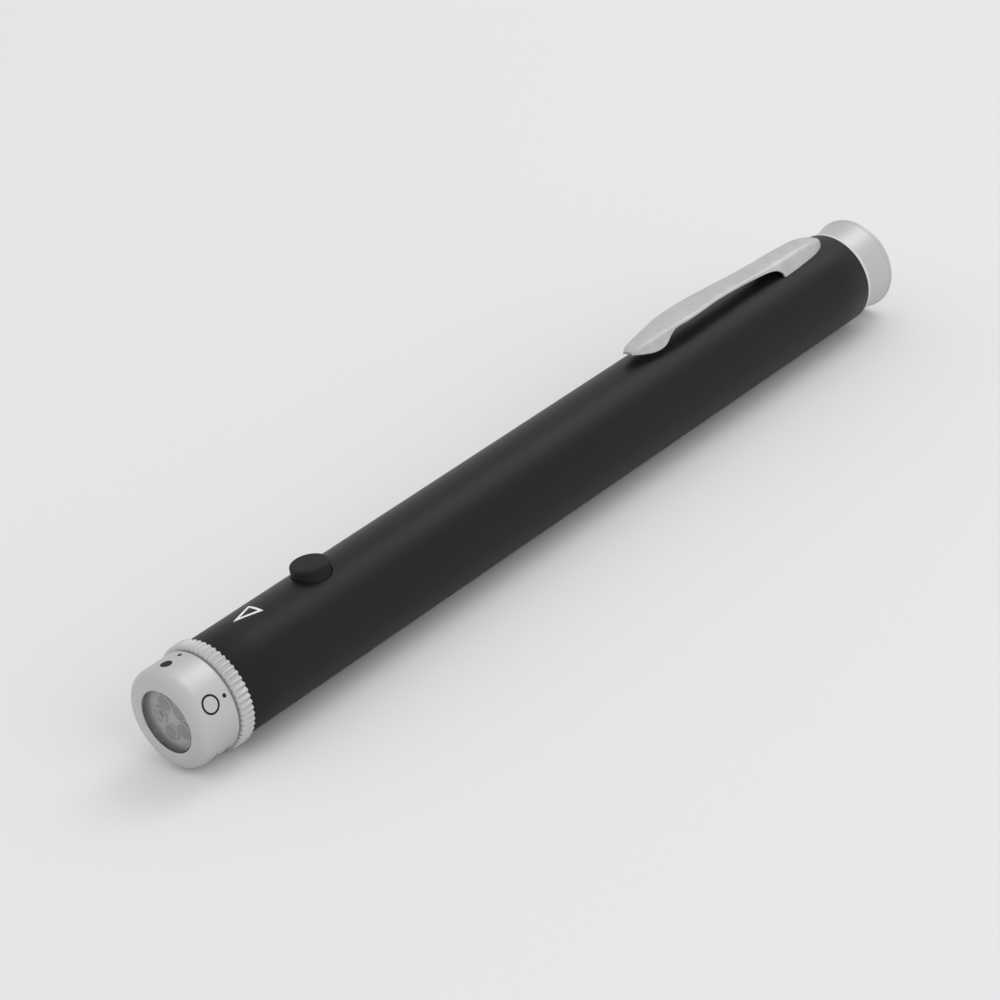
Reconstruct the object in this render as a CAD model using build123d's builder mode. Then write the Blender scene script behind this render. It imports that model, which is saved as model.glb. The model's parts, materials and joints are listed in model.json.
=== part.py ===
"""Pen-shaped laser pointer with a turning pattern selector, built as separate pieces.

The pen lies along Y with its beam end towards -Y. The button, the clip and the index line
of the selector are on top, towards +Z. The origin is on the surface under the middle of the pen.
"""

import os
from math import asin, cos, pi, radians, sin, sqrt, tan

from build123d import *

os.makedirs("parts", exist_ok=True)

# Cells and the tubes round them: these set the pen's bore and its outside
cell_length = 44.5
cell_radius = 5.25
cell_count = 2
cell_edge_break = 0.4
terminal_radius = 1.9
terminal_length = 1.0
terminal_edge_break = 0.2
sleeve_cell_gap = 0.15
sleeve_wall = 0.65
sleeve_bore_gap = 0.2
barrel_wall = 0.75
bore_radius = cell_radius + sleeve_cell_gap + sleeve_wall + sleeve_bore_gap
barrel_radius = bore_radius + barrel_wall
edge_break = 0.12
overrun = 1.0
wire_sides = 5
round_chords = 4

# Fits between pieces
seat_gap = 0.03
running_gap = 0.06
slide_gap = 0.12
face_gap = 0.15

# Selector head
head_length = 8.5
nose_inset = 0.02
nose_radius = barrel_radius - nose_inset
nose_wall = 1.13
nose_round = 1.3
front_wall = 1.0
front_land = 1.45
opening_break = 0.25
groove_width = 0.3
groove_depth = 0.35
ring_length = 2.15
ring_rise = 0.5
ring_crest_radius = barrel_radius + ring_rise
ring_tooth_count = 54
ring_tooth_depth = 0.27
ring_tooth_width_share = 0.62
ring_bevel = 0.22
ring_wall = 0.75

# Window, pattern wheel and patterns
selector_positions = 5
insert_radius = nose_radius - nose_wall
front_opening_radius = insert_radius - front_land
window_thickness = 0.8
window_boss_gap = 0.05
window_boss_setback = 0.2
wheel_thickness = 1.2
wheel_air_gap = 0.3
pattern_pitch_share = 0.376
pattern_pitch_radius = insert_radius * pattern_pitch_share
pattern_opening_radius = 0.85
pattern_film_radius = 1.05
pattern_film_thickness = 0.35
pattern_names = ["circle", "line", "cross", "arrow"]

# Bush that carries the head, its snap ring and its click stop
journal_step = 0.55
journal_radius = insert_radius - journal_step
bush_radius = bore_radius - seat_gap
bush_depth = 8.0
snap_ring_inset = 0.13
snap_ring_radius = insert_radius - snap_ring_inset
snap_ring_wire = 0.5
snap_ring_setback = 0.35
snap_groove_depth = 0.3
snap_ring_opening_angle = 50.0
detent_ball_radius = 0.25
detent_pitch_radius = (journal_radius + bush_radius) / 2
detent_pocket_depth = 2.2
detent_wire_radius = 0.07
detent_turns = 2

# Laser module, set off the axis so that its beam meets one pattern
lens_tube_land = 0.5
lens_tube_radius = journal_radius - snap_groove_depth - pattern_pitch_radius - lens_tube_land
lens_tube_length = 5.8
housing_land = 0.82
housing_radius = bush_radius - pattern_pitch_radius - housing_land
housing_length = 7.4
aperture_radius = 0.45
aperture_cone_radius = 1.0
aperture_wall = 0.6
lens_tube_wall = 0.45
lens_radius = lens_tube_radius - lens_tube_wall
lens_rim = 0.7
lens_dome = 0.45
lens_spring_wire_radius = 0.15
lens_spring_turns = 2
housing_wall = 0.4
diode_flange_radius = housing_radius - housing_wall
diode_flange_thickness = 1.2
diode_flange_rim = 0.7
diode_can_radius = diode_flange_radius - diode_flange_rim
diode_can_length = 1.8
diode_window_radius = 0.6
diode_window_depth = 0.25
diode_pin_radius = 0.2
diode_pin_length = 5.4
diode_pin_spread = 1.0

# Push button and its switch: their heights hang from the barrel's bore
button_from_head = 19.6
button_radius = 2.68
button_rise = 1.35
button_round = 0.45
button_travel = 0.5
button_flange_radius = 3.5
button_flange_thickness = 0.55
button_flange_drop = 1.35
switch_size = 6.0
switch_height = 3.5
switch_headroom = 0.65
switch_bevel = 0.4
switch_stud_radius = 0.45
switch_stud_height = 0.15
switch_stud_inset = 0.9
plunger_radius = 1.7
plunger_rise = 0.75
plunger_socket_depth = 1.6
plunger_stop_gap = 0.3
switch_leg_width = 0.7
switch_leg_thickness = 0.3

# Driver board on its cradle
board_length = 21.0
board_thickness = 0.8
cradle_gap = 0.05
cradle_radius = bore_radius - cradle_gap
cradle_wall = 1.0
cradle_end_gap = 0.2
cradle_end_wall = 1.2
cradle_tail = 1.6
chip_length = 4.9
chip_width = 3.9
chip_height = 1.4
chip_lead_count = 4
chip_lead_pitch = 1.27
chip_lead_width = 0.4
chip_lead_reach = 0.9
chip_lead_height = 0.5
chip_setback = 4.6
resistor_length = 1.6
resistor_width = 0.8
resistor_height = 0.45
resistor_count = 3
resistor_pitch = 1.5
capacitor_length = 3.2
capacitor_width = 1.6
capacitor_height = 1.5
side_part_offset = 3.9
trimmer_size = 3.0
trimmer_height = 1.0
trimmer_rotor_radius = 1.05
trimmer_rotor_height = 0.4
trimmer_slot_width = 0.4
trimmer_slot_depth = 0.2
trimmer_from_switch = 5.6

# Contacts at the two ends of the row of cells
contact_plate_inset = 0.65
contact_plate_thickness = 0.35
front_spring_radius = 2.6
front_spring_turns = 2
front_spring_length = 2.2
front_wire_radius = 0.2
rear_spring_front_radius = 2.4
rear_spring_rear_inset = 0.6
rear_spring_turns = 3
rear_wire_radius = 0.28
rear_room = 7.45

# End cap
cap_length = 5.9
cap_plug_length = 6.0
cap_plug_wall = 1.5
cap_plug_floor = 1.6
cap_waist = 0.38
cap_neck_radius = barrel_radius - cap_waist
cap_rim_rise = 0.03
cap_rim_radius = barrel_radius + cap_rim_rise
cap_neck_share = 0.45
cap_lip_width = 0.6
cap_lip_break = 0.12
cap_washer_thickness = 0.65
cap_washer_step = 0.12
cap_washer_radius = barrel_radius - cap_washer_step
cap_washer_inset = 0.5

# Pocket clip, a formed sheet: stations run from its tip to its rear end
clip_length = 44.2
clip_rear_inset = 2.3
clip_sheet = 0.36
clip_rise = 2.85
clip_crown = 0.15
clip_half_width = 2.52
clip_bend_radius = 0.5
clip_bend_share = 0.4
clip_flare_angle = 17.0
clip_foot_depth = 1.6
clip_seat_gap = 0.05
clip_saddle_length = 11.47
clip_tab_width = 2.4
clip_tab_from_seam = 2.6
clip_tab_half_spacing = 2.2
clip_tab_drop = 1.02
clip_hook_length = 0.75
clip_station_shares = [
    (0.000, 0.63, 0.30),
    (0.018, 0.72, 0.50),
    (0.043, 0.79, 0.60),
    (0.077, 0.85, 0.68),
    (0.115, 0.91, 0.78),
    (0.158, 0.96, 0.86),
    (0.213, 0.99, 0.95),
    (0.267, 1.00, 0.99),
    (0.326, 0.99, 0.96),
    (0.414, 0.96, 0.86),
    (0.505, 0.88, 0.82),
    (0.595, 0.79, 0.80),
    (0.683, 0.72, 0.82),
    (0.774, 0.69, 0.84),
    (0.864, 0.64, 0.79),
    (0.930, 0.55, 0.71),
    (0.971, 0.39, 0.57),
    (0.991, 0.26, 0.38),
    (1.000, 0.17, 0.18),
]
clip_lower_edge_shares = [
    (0.000, 0.47),
    (0.034, 0.35),
    (0.070, 0.21),
    (0.100, 0.20),
    (0.126, 0.28),
    (0.157, 0.58),
    (0.184, 0.76),
    (0.234, 0.78),
    (0.296, 0.79),
    (0.363, 0.79),
    (0.431, 0.77),
    (0.510, 0.70),
    (0.603, 0.57),
    (0.684, 0.44),
    (0.723, 0.26),
    (0.739, 0.04),
]

# Places worked out from the sizes above
cradle_length = board_length + cradle_tail + cradle_end_wall
front_room = bush_depth + cradle_end_gap + cradle_length + contact_plate_thickness + front_spring_length
barrel_length = front_room + cell_count * cell_length + rear_room
overall_length = head_length + barrel_length + cap_length
axis_height = ring_crest_radius
head_front = -overall_length / 2
barrel_front = head_front + head_length
barrel_rear = barrel_front + barrel_length
pen_axis = Axis((0, 0, axis_height), (0, 1, 0))
side_plane = Plane(origin=(0, 0, axis_height), x_dir=(0, 1, 0), z_dir=(1, 0, 0))


def across(y, x_offset=0, z_offset=0):
    """Plane square to the pen at y: its x points to -X, its y to +Z, its normal to the rear."""
    return Plane(origin=(x_offset, y, axis_height + z_offset), x_dir=(-1, 0, 0), z_dir=(0, 1, 0))


def level(height):
    """Horizontal plane at a height above the pen's axis."""
    return Plane.XY.offset(axis_height + height)


def quarter_round(middle, radius, start_angle):
    """Points of a quarter round about its middle, joined by short chords."""
    angles = [radians(start_angle + 90 * step / round_chords) for step in range(round_chords + 1)]
    return [(middle[0] + radius * cos(angle), middle[1] + radius * sin(angle)) for angle in angles]


def wound(front_radius, rear_radius, front, rear, wire_radius, turns, x_offset=0, z_offset=0):
    """Coil spring about a line along Y, wound as half turns from front to rear."""

    def place(turn):
        share = turn / turns
        radius = front_radius + (rear_radius - front_radius) * share
        angle = 2 * pi * turn
        return (
            x_offset + radius * cos(angle),
            front + (rear - front) * share,
            axis_height + z_offset + radius * sin(angle),
        )

    half_turns = range(2 * turns)
    with BuildPart() as spring:
        with BuildLine() as path:
            for half in half_turns:
                ThreePointArc(place(half / 2), place(half / 2 + 1 / 4), place(half / 2 + 1 / 2))
        with BuildSketch(Plane(origin=path.line @ 0, z_dir=path.line % 0)):
            RegularPolygon(wire_radius, wire_sides)
        sweep()
    least_gap = (rear - front) / turns - 2 * wire_radius
    print(f"spring of {turns} turns, least gap between turns {least_gap:.2f} mm")
    return spring.part


def keep(piece, name):
    """Name a finished piece and write it to its own file."""
    piece.part.label = name
    export_step(piece.part, f"parts/{name}.step")


# Barrel, an open tube with the button's hole and the clip's two slots
button_y = barrel_front + button_from_head
button_hole_radius = button_radius + slide_gap
clip_rear = barrel_rear - clip_rear_inset
clip_tip = clip_rear - clip_length
clip_seam = clip_rear - clip_saddle_length
clip_tab_y = clip_seam + clip_tab_from_seam
clip_slot_width = clip_sheet + 2 * slide_gap
clip_slot_length = clip_tab_width + 2 * slide_gap

with BuildPart() as barrel_tube:
    with BuildSketch(across(barrel_front)):
        Circle(barrel_radius)
        Circle(bore_radius, mode=Mode.SUBTRACT)
    extrude(amount=barrel_length)
    chamfer(barrel_tube.edges().filter_by(GeomType.CIRCLE).group_by(SortBy.RADIUS)[-1], edge_break)
    with BuildSketch(level(0)):
        with Locations((0, button_y)):
            Circle(button_hole_radius)
    extrude(amount=barrel_radius + overrun, mode=Mode.SUBTRACT)
    with BuildSketch(level(0)):
        with Locations((-clip_tab_half_spacing, clip_tab_y), (clip_tab_half_spacing, clip_tab_y)):
            Rectangle(clip_slot_width, clip_slot_length)
    extrude(amount=barrel_radius + overrun, mode=Mode.SUBTRACT)
keep(barrel_tube, "barrel_tube")

# Stations of the head, from its front face to the barrel
head_rear = barrel_front - face_gap
ring_front = head_rear - ring_length
groove_front = ring_front - groove_width
window_front = head_front + front_wall
wheel_front = window_front + window_thickness
wheel_rear = wheel_front + wheel_thickness
journal_front = wheel_rear + wheel_air_gap
snap_front = journal_front + snap_ring_setback
snap_rear = snap_front + snap_ring_wire
shoulder_front = snap_rear + running_gap
insert_bore_radius = insert_radius + seat_gap
bearing_radius = journal_radius + running_gap
ring_seat_radius = ring_crest_radius - ring_tooth_depth - ring_wall

# Nose shell with its rounded front, wheel chamber and bearing shoulder
with BuildPart() as nose_shell:
    front_round = quarter_round((head_front + nose_round, nose_radius - nose_round), nose_round, 90)
    with BuildSketch(side_plane):
        with BuildLine():
            Polyline(
                (head_front + opening_break, front_opening_radius),
                (head_front, front_opening_radius + opening_break),
                *reversed(front_round),
                (groove_front, nose_radius),
                (groove_front, nose_radius - groove_depth),
                (ring_front, nose_radius - groove_depth),
                (ring_front, ring_seat_radius),
                (head_rear, ring_seat_radius),
                (head_rear, bearing_radius),
                (shoulder_front, bearing_radius),
                (shoulder_front, insert_bore_radius),
                (window_front, insert_bore_radius),
                (window_front, front_opening_radius),
                close=True,
            )
        make_face()
    revolve(axis=pen_axis)
    with BuildSketch(across(head_rear)):
        with PolarLocations(detent_pitch_radius, selector_positions, start_angle=90):
            Circle(detent_ball_radius)
    extrude(amount=-detent_ball_radius, mode=Mode.SUBTRACT)
keep(nose_shell, "nose_shell")

# Serrated grip ring: V grooves between narrow crests, bevelled at both ends
tooth_pitch_angle = 360 / ring_tooth_count
tooth_groove_width = 2 * pi * ring_crest_radius / ring_tooth_count * ring_tooth_width_share

with BuildPart() as grip_ring:
    with BuildSketch(across(ring_front)):
        Circle(ring_crest_radius)
        with PolarLocations(ring_crest_radius, ring_tooth_count,
                            start_angle=90 + tooth_pitch_angle / 2):
            with BuildLine():
                Polyline(
                    (0, tooth_groove_width / 2),
                    (-ring_tooth_depth, 0),
                    (0, -tooth_groove_width / 2),
                    (ring_tooth_depth, -tooth_groove_width / 2),
                    (ring_tooth_depth, tooth_groove_width / 2),
                    close=True,
                )
            make_face(mode=Mode.SUBTRACT)
        Circle(ring_seat_radius + seat_gap, mode=Mode.SUBTRACT)
    extrude(amount=ring_length)
    with BuildSketch(side_plane):
        with BuildLine():
            Polyline(
                (ring_front, 0),
                (ring_front, ring_crest_radius - ring_bevel),
                (ring_front + ring_bevel, ring_crest_radius),
                (head_rear - ring_bevel, ring_crest_radius),
                (head_rear, ring_crest_radius - ring_bevel),
                (head_rear, 0),
                close=True,
            )
        make_face()
    revolve(axis=pen_axis, mode=Mode.INTERSECT)
keep(grip_ring, "grip_ring")

# Clear window: a flange behind the front wall, a boss that fills the opening
with BuildPart() as window:
    with BuildSketch(across(window_front)):
        Circle(insert_radius)
    extrude(amount=window_thickness)
    with BuildSketch(across(head_front + window_boss_setback)):
        Circle(front_opening_radius - window_boss_gap)
    extrude(amount=front_wall - window_boss_setback)
keep(window, "window")

# Pattern wheel: five stepped openings on one pitch circle, each with a seat for a film
with BuildPart() as pattern_wheel:
    with BuildSketch(across(wheel_front)):
        Circle(insert_radius)
    extrude(amount=wheel_thickness)
    with BuildSketch(across(wheel_front)):
        with PolarLocations(pattern_pitch_radius, selector_positions):
            Circle(pattern_film_radius + seat_gap)
    extrude(amount=pattern_film_thickness, mode=Mode.SUBTRACT)
    with BuildSketch(across(wheel_front)):
        with PolarLocations(pattern_pitch_radius, selector_positions):
            Circle(pattern_opening_radius)
    extrude(amount=wheel_thickness, mode=Mode.SUBTRACT)
keep(pattern_wheel, "pattern_wheel")

# Pattern films, one for each drawn figure: the fifth opening is left plain for the dot
for position, pattern in enumerate(pattern_names, start=1):
    with BuildPart() as pattern_film:
        film_angle = position * 360 / selector_positions
        with BuildSketch(across(wheel_front)):
            with PolarLocations(pattern_pitch_radius, 1, start_angle=film_angle):
                Circle(pattern_film_radius)
        extrude(amount=pattern_film_thickness)
    keep(pattern_film, f"pattern_film_{pattern}")

# Front bush: journal for the head, plug in the barrel, off-centre bore for the laser module
beam_x = -pattern_pitch_radius
lens_tube_rear = journal_front + lens_tube_length
housing_rear = lens_tube_rear + housing_length
bush_rear = barrel_front + bush_depth

with BuildPart() as front_bush:
    with BuildSketch(side_plane):
        with BuildLine():
            Polyline(
                (journal_front, 0),
                (journal_front, journal_radius),
                (snap_front - seat_gap, journal_radius),
                (snap_front - seat_gap, journal_radius - snap_groove_depth),
                (snap_rear + seat_gap, journal_radius - snap_groove_depth),
                (snap_rear + seat_gap, journal_radius),
                (barrel_front, journal_radius),
                (barrel_front, bush_radius),
                (bush_rear, bush_radius),
                (bush_rear, 0),
                close=True,
            )
        make_face()
    revolve(axis=pen_axis)
    with BuildSketch(across(journal_front, beam_x)):
        Circle(lens_tube_radius + seat_gap)
    extrude(amount=bush_rear - journal_front, mode=Mode.SUBTRACT)
    with BuildSketch(across(lens_tube_rear - seat_gap, beam_x)):
        Circle(housing_radius + seat_gap)
    extrude(amount=bush_rear - lens_tube_rear + overrun, mode=Mode.SUBTRACT)
    with BuildSketch(across(barrel_front)):
        with Locations((0, detent_pitch_radius)):
            Circle(detent_ball_radius + seat_gap)
    extrude(amount=detent_pocket_depth, mode=Mode.SUBTRACT)
keep(front_bush, "front_bush")

# Snap ring in the journal's groove: it holds the head's shoulder on the bush
with BuildPart() as head_snap_ring:
    with BuildSketch(across(snap_front)):
        Circle(snap_ring_radius)
        Circle(journal_radius - snap_groove_depth + seat_gap, mode=Mode.SUBTRACT)
        with BuildLine():
            gap_reach = snap_ring_radius + overrun
            gap_half_angle = radians(snap_ring_opening_angle / 2)
            Polyline(
                (0, 0),
                (gap_reach * cos(gap_half_angle), gap_reach * sin(gap_half_angle)),
                (gap_reach * cos(gap_half_angle), -gap_reach * sin(gap_half_angle)),
                close=True,
            )
        make_face(mode=Mode.SUBTRACT)
    extrude(amount=snap_ring_wire)
keep(head_snap_ring, "head_snap_ring")

# Click stop: a ball on a small spring in the bush's face
detent_ball_y = barrel_front + detent_ball_radius - face_gap + seat_gap
with BuildPart() as detent_ball:
    with Locations((0, detent_ball_y, axis_height + detent_pitch_radius)):
        Sphere(detent_ball_radius)
keep(detent_ball, "detent_ball")

with BuildPart() as detent_spring:
    add(
        wound(
            detent_ball_radius - detent_wire_radius,
            detent_ball_radius - detent_wire_radius,
            detent_ball_y + detent_ball_radius + detent_wire_radius + seat_gap,
            barrel_front + detent_pocket_depth - detent_wire_radius - seat_gap,
            detent_wire_radius,
            detent_turns,
            z_offset=detent_pitch_radius,
        )
    )
keep(detent_spring, "detent_spring")

# Laser module: stepped brass housing, lens, lens spring and diode on one beam axis
beam_axis = Axis((beam_x, 0, axis_height), (0, 1, 0))
beam_plane = Plane(origin=(beam_x, 0, axis_height), x_dir=(0, 1, 0), z_dir=(1, 0, 0))
lens_bore_radius = lens_radius + seat_gap
diode_bore_radius = diode_flange_radius + seat_gap
lens_front = journal_front + aperture_wall
diode_front = lens_tube_rear + aperture_wall
diode_flange_front = diode_front + diode_can_length
diode_rear = diode_flange_front + diode_flange_thickness

with BuildPart() as laser_housing:
    with BuildSketch(beam_plane):
        with BuildLine():
            Polyline(
                (journal_front, aperture_cone_radius),
                (journal_front, lens_tube_radius - edge_break),
                (journal_front + edge_break, lens_tube_radius),
                (lens_tube_rear, lens_tube_radius),
                (lens_tube_rear, housing_radius),
                (housing_rear, housing_radius),
                (housing_rear, diode_bore_radius),
                (diode_front, diode_bore_radius),
                (diode_front, lens_bore_radius),
                (lens_front, lens_bore_radius),
                (lens_front, aperture_radius),
                close=True,
            )
        make_face()
    revolve(axis=beam_axis)
keep(laser_housing, "laser_housing")

with BuildPart() as collimator_lens:
    lens_apex = lens_front + seat_gap
    lens_edge = lens_apex + lens_dome
    lens_curve_radius = (lens_radius**2 + lens_dome**2) / (2 * lens_dome)
    lens_half_angle = asin(lens_radius / lens_curve_radius) / 2
    lens_mid_depth = lens_curve_radius * (1 - cos(lens_half_angle))
    with BuildSketch(beam_plane):
        with BuildLine():
            ThreePointArc(
                (lens_edge, lens_radius),
                (lens_apex + lens_mid_depth, lens_curve_radius * sin(lens_half_angle)),
                (lens_apex, 0),
            )
            Polyline(
                (lens_apex, 0),
                (lens_edge + lens_rim, 0),
                (lens_edge + lens_rim, lens_radius),
                (lens_edge, lens_radius),
            )
        make_face()
    revolve(axis=beam_axis)
keep(collimator_lens, "collimator_lens")

lens_rear = lens_edge + lens_rim
lens_spring_radius = lens_radius - 2 * lens_spring_wire_radius
with BuildPart() as lens_spring:
    add(
        wound(
            lens_spring_radius,
            lens_spring_radius,
            lens_rear + lens_spring_wire_radius + seat_gap,
            diode_front - lens_spring_wire_radius - seat_gap,
            lens_spring_wire_radius,
            lens_spring_turns,
            x_offset=beam_x,
        )
    )
keep(lens_spring, "lens_spring")

with BuildPart() as laser_diode:
    with BuildSketch(across(diode_front, beam_x)):
        Circle(diode_can_radius)
    extrude(amount=diode_can_length)
    with BuildSketch(across(diode_flange_front, beam_x)):
        Circle(diode_flange_radius)
    extrude(amount=diode_flange_thickness)
    with BuildSketch(across(diode_front, beam_x)):
        Circle(diode_window_radius)
    extrude(amount=diode_window_depth, mode=Mode.SUBTRACT)
keep(laser_diode, "laser_diode")

# Driver board, its cradle and what is soldered on it
button_top = barrel_radius + button_rise
button_flange_top = bore_radius - button_flange_drop
button_flange_bottom = button_flange_top - button_flange_thickness
switch_top = button_flange_bottom - button_travel - switch_headroom
board_top = switch_top - switch_height
board_bottom = board_top - board_thickness
board_width = 2 * sqrt((cradle_radius - cradle_wall / 2) ** 2 - board_bottom**2)
cradle_front = bush_rear + cradle_end_gap
cradle_rear = cradle_front + cradle_length
board_middle = cradle_front + board_length / 2

with BuildPart() as diode_pins:
    pin_top = board_top + diode_pin_radius
    pin_bottom = board_bottom - diode_pin_radius
    with BuildSketch(across(diode_rear, beam_x)):
        with Locations((-diode_pin_spread, pin_top), (diode_pin_spread, pin_top), (0, pin_bottom)):
            Circle(diode_pin_radius)
    extrude(amount=diode_pin_length)
keep(diode_pins, "diode_pins")

with BuildPart() as driver_board:
    with BuildSketch(level(board_bottom)):
        with Locations((0, board_middle)):
            Rectangle(board_width, board_length)
    extrude(amount=board_thickness)
keep(driver_board, "driver_board")

with BuildPart() as board_cradle:
    with BuildSketch(across(cradle_front)):
        Circle(cradle_radius)
        Circle(cradle_radius - cradle_wall, mode=Mode.SUBTRACT)
        with Locations((0, board_bottom)):
            Rectangle(
                2 * cradle_radius + overrun,
                2 * cradle_radius,
                align=(Align.CENTER, Align.MIN),
                mode=Mode.SUBTRACT,
            )
    extrude(amount=cradle_length)
    with BuildSketch(across(cradle_rear - cradle_end_wall)):
        Circle(cradle_radius)
    extrude(amount=cradle_end_wall)
keep(board_cradle, "board_cradle")

chip_y = cradle_front + chip_setback
lead_row = chip_width / 2 + chip_lead_reach / 2
with BuildPart() as driver_chip:
    with BuildSketch(level(board_top)):
        with Locations((0, chip_y)):
            Rectangle(chip_width, chip_length)
    extrude(amount=chip_height)
    chamfer(driver_chip.faces().sort_by(Axis.Z)[-1].edges(), edge_break)
    with BuildSketch(level(board_top)):
        with Locations((-lead_row, chip_y), (lead_row, chip_y)):
            with GridLocations(0, chip_lead_pitch, 1, chip_lead_count):
                Rectangle(chip_lead_reach, chip_lead_width)
    extrude(amount=chip_lead_height)
keep(driver_chip, "driver_chip")

trimmer_y = button_y + trimmer_from_switch
with BuildPart() as board_resistors:
    with BuildSketch(level(board_top)):
        with Locations((-side_part_offset, chip_y)):
            with GridLocations(0, resistor_pitch, 1, resistor_count):
                Rectangle(resistor_length, resistor_width)
    extrude(amount=resistor_height)
keep(board_resistors, "board_resistors")

with BuildPart() as board_capacitor:
    with BuildSketch(level(board_top)):
        with Locations((side_part_offset, chip_y)):
            Rectangle(capacitor_width, capacitor_length)
    extrude(amount=capacitor_height)
    chamfer(board_capacitor.faces().sort_by(Axis.Z)[-1].edges(), edge_break)
keep(board_capacitor, "board_capacitor")

with BuildPart() as power_trimmer:
    with BuildSketch(level(board_top)):
        with Locations((0, trimmer_y)):
            Rectangle(trimmer_size, trimmer_size)
    extrude(amount=trimmer_height)
    with BuildSketch(level(board_top + trimmer_height)):
        with Locations((0, trimmer_y)):
            Circle(trimmer_rotor_radius)
    extrude(amount=trimmer_rotor_height)
    with BuildSketch(level(board_top + trimmer_height + trimmer_rotor_height)):
        with Locations((0, trimmer_y)):
            Rectangle(2 * trimmer_rotor_radius, trimmer_slot_width)
    extrude(amount=-trimmer_slot_depth, mode=Mode.SUBTRACT)
keep(power_trimmer, "power_trimmer")

# Key switch under the button, with its plunger in a socket
plunger_bottom = switch_top - plunger_socket_depth + button_travel + plunger_stop_gap
plunger_top = switch_top + plunger_rise

stud_x = switch_size / 2 - switch_stud_inset
leg_x = switch_size / 2 + switch_leg_width / 2

with BuildPart() as switch_body:
    with BuildSketch(level(board_top)):
        with Locations((0, button_y)):
            Rectangle(switch_size, switch_size)
    extrude(amount=switch_height)
    chamfer(switch_body.edges().filter_by(Axis.Z), switch_bevel)
    with BuildSketch(level(switch_top)):
        with Locations((0, button_y)):
            with GridLocations(2 * stud_x, 2 * stud_x, 2, 2):
                Circle(switch_stud_radius)
    extrude(amount=switch_stud_height)
    with BuildSketch(level(switch_top)):
        with Locations((0, button_y)):
            Circle(plunger_radius + running_gap)
    extrude(amount=-plunger_socket_depth, mode=Mode.SUBTRACT)
    with BuildSketch(level(board_top)):
        with Locations((0, button_y)):
            with GridLocations(2 * leg_x, switch_size / 2, 2, 2):
                Rectangle(switch_leg_width, switch_leg_width)
    extrude(amount=switch_leg_thickness)
keep(switch_body, "switch_body")

with BuildPart() as switch_plunger:
    with BuildSketch(level(plunger_bottom)):
        with Locations((0, button_y)):
            Circle(plunger_radius)
    extrude(amount=plunger_top - plunger_bottom)
    chamfer(switch_plunger.faces().sort_by(Axis.Z)[-1].edges(), edge_break)
keep(switch_plunger, "switch_plunger")

# Push button: crowned cap, retaining flange under the barrel wall, stem on the plunger
button_stem_bottom = plunger_top + seat_gap

button_axis = Axis((0, button_y, 0), (0, 0, 1))
button_plane = Plane(origin=(0, button_y, axis_height), x_dir=(1, 0, 0), z_dir=(0, -1, 0))
top_round = quarter_round((button_radius - button_round, button_top - button_round), button_round, 0)

with BuildPart() as push_button:
    with BuildSketch(button_plane):
        with BuildLine():
            Polyline(
                (0, button_stem_bottom),
                (plunger_radius, button_stem_bottom),
                (plunger_radius, button_flange_bottom),
                (button_flange_radius, button_flange_bottom),
                (button_flange_radius, button_flange_top),
                (button_radius, button_flange_top),
                *top_round,
                (0, button_top),
                close=True,
            )
        make_face()
    revolve(axis=button_axis)
keep(push_button, "push_button")

# Front battery contact: plate on the cradle's end wall and a short spring
plate_rear = cradle_rear + contact_plate_thickness
front_spring_rear = plate_rear + front_spring_length
with BuildPart() as contact_plate:
    with BuildSketch(across(cradle_rear)):
        Circle(cell_radius - contact_plate_inset)
    extrude(amount=contact_plate_thickness)
keep(contact_plate, "contact_plate")

with BuildPart() as front_contact_spring:
    add(
        wound(
            front_spring_radius,
            terminal_radius - front_wire_radius,
            plate_rear + front_wire_radius + seat_gap,
            front_spring_rear - front_wire_radius - seat_gap,
            front_wire_radius,
            front_spring_turns,
        )
    )
keep(front_contact_spring, "front_contact_spring")

# Two cells in line, each with its can and its positive terminal towards the front
cells_front = front_spring_rear
cell_names = ["front", "rear"]
for index in range(cell_count):
    cell_front = cells_front + index * cell_length
    with BuildPart() as cell_can:
        with BuildSketch(across(cell_front + terminal_length)):
            Circle(cell_radius)
        extrude(amount=cell_length - terminal_length)
        chamfer(cell_can.edges().filter_by(GeomType.CIRCLE), cell_edge_break)
    keep(cell_can, f"battery_{cell_names[index]}")
    with BuildPart() as cell_terminal:
        with BuildSketch(across(cell_front)):
            Circle(terminal_radius)
        extrude(amount=terminal_length)
        chamfer(cell_terminal.faces().sort_by(Axis.Y)[0].edges(), terminal_edge_break)
    keep(cell_terminal, f"battery_{cell_names[index]}_terminal")

# Insulating sleeve round the cells, ending ahead of the clip's hooks
cells_rear = cells_front + cell_count * cell_length
sleeve_front = cradle_rear + contact_plate_thickness
sleeve_rear = clip_seam
with BuildPart() as battery_sleeve:
    with BuildSketch(across(sleeve_front)):
        Circle(cell_radius + sleeve_cell_gap + sleeve_wall)
        Circle(cell_radius + sleeve_cell_gap, mode=Mode.SUBTRACT)
    extrude(amount=sleeve_rear - sleeve_front)
keep(battery_sleeve, "battery_sleeve")

# End cap: hollow plug in the barrel, waisted neck, flared rim with a rounded lip
cap_front = barrel_rear
cap_rear = barrel_rear + cap_length
plug_front = cap_front - cap_plug_length
plug_radius = bore_radius - running_gap
plug_bore_radius = plug_radius - cap_plug_wall
plug_bore_rear = cap_front - cap_plug_floor
neck_front = cap_front + cap_washer_thickness
neck_rear = cap_front + cap_length * cap_neck_share
lip_front = cap_rear - cap_lip_width
flare_rise = cap_rim_radius - cap_lip_break - cap_neck_radius
washer_seat_radius = bore_radius - cap_washer_inset

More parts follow.
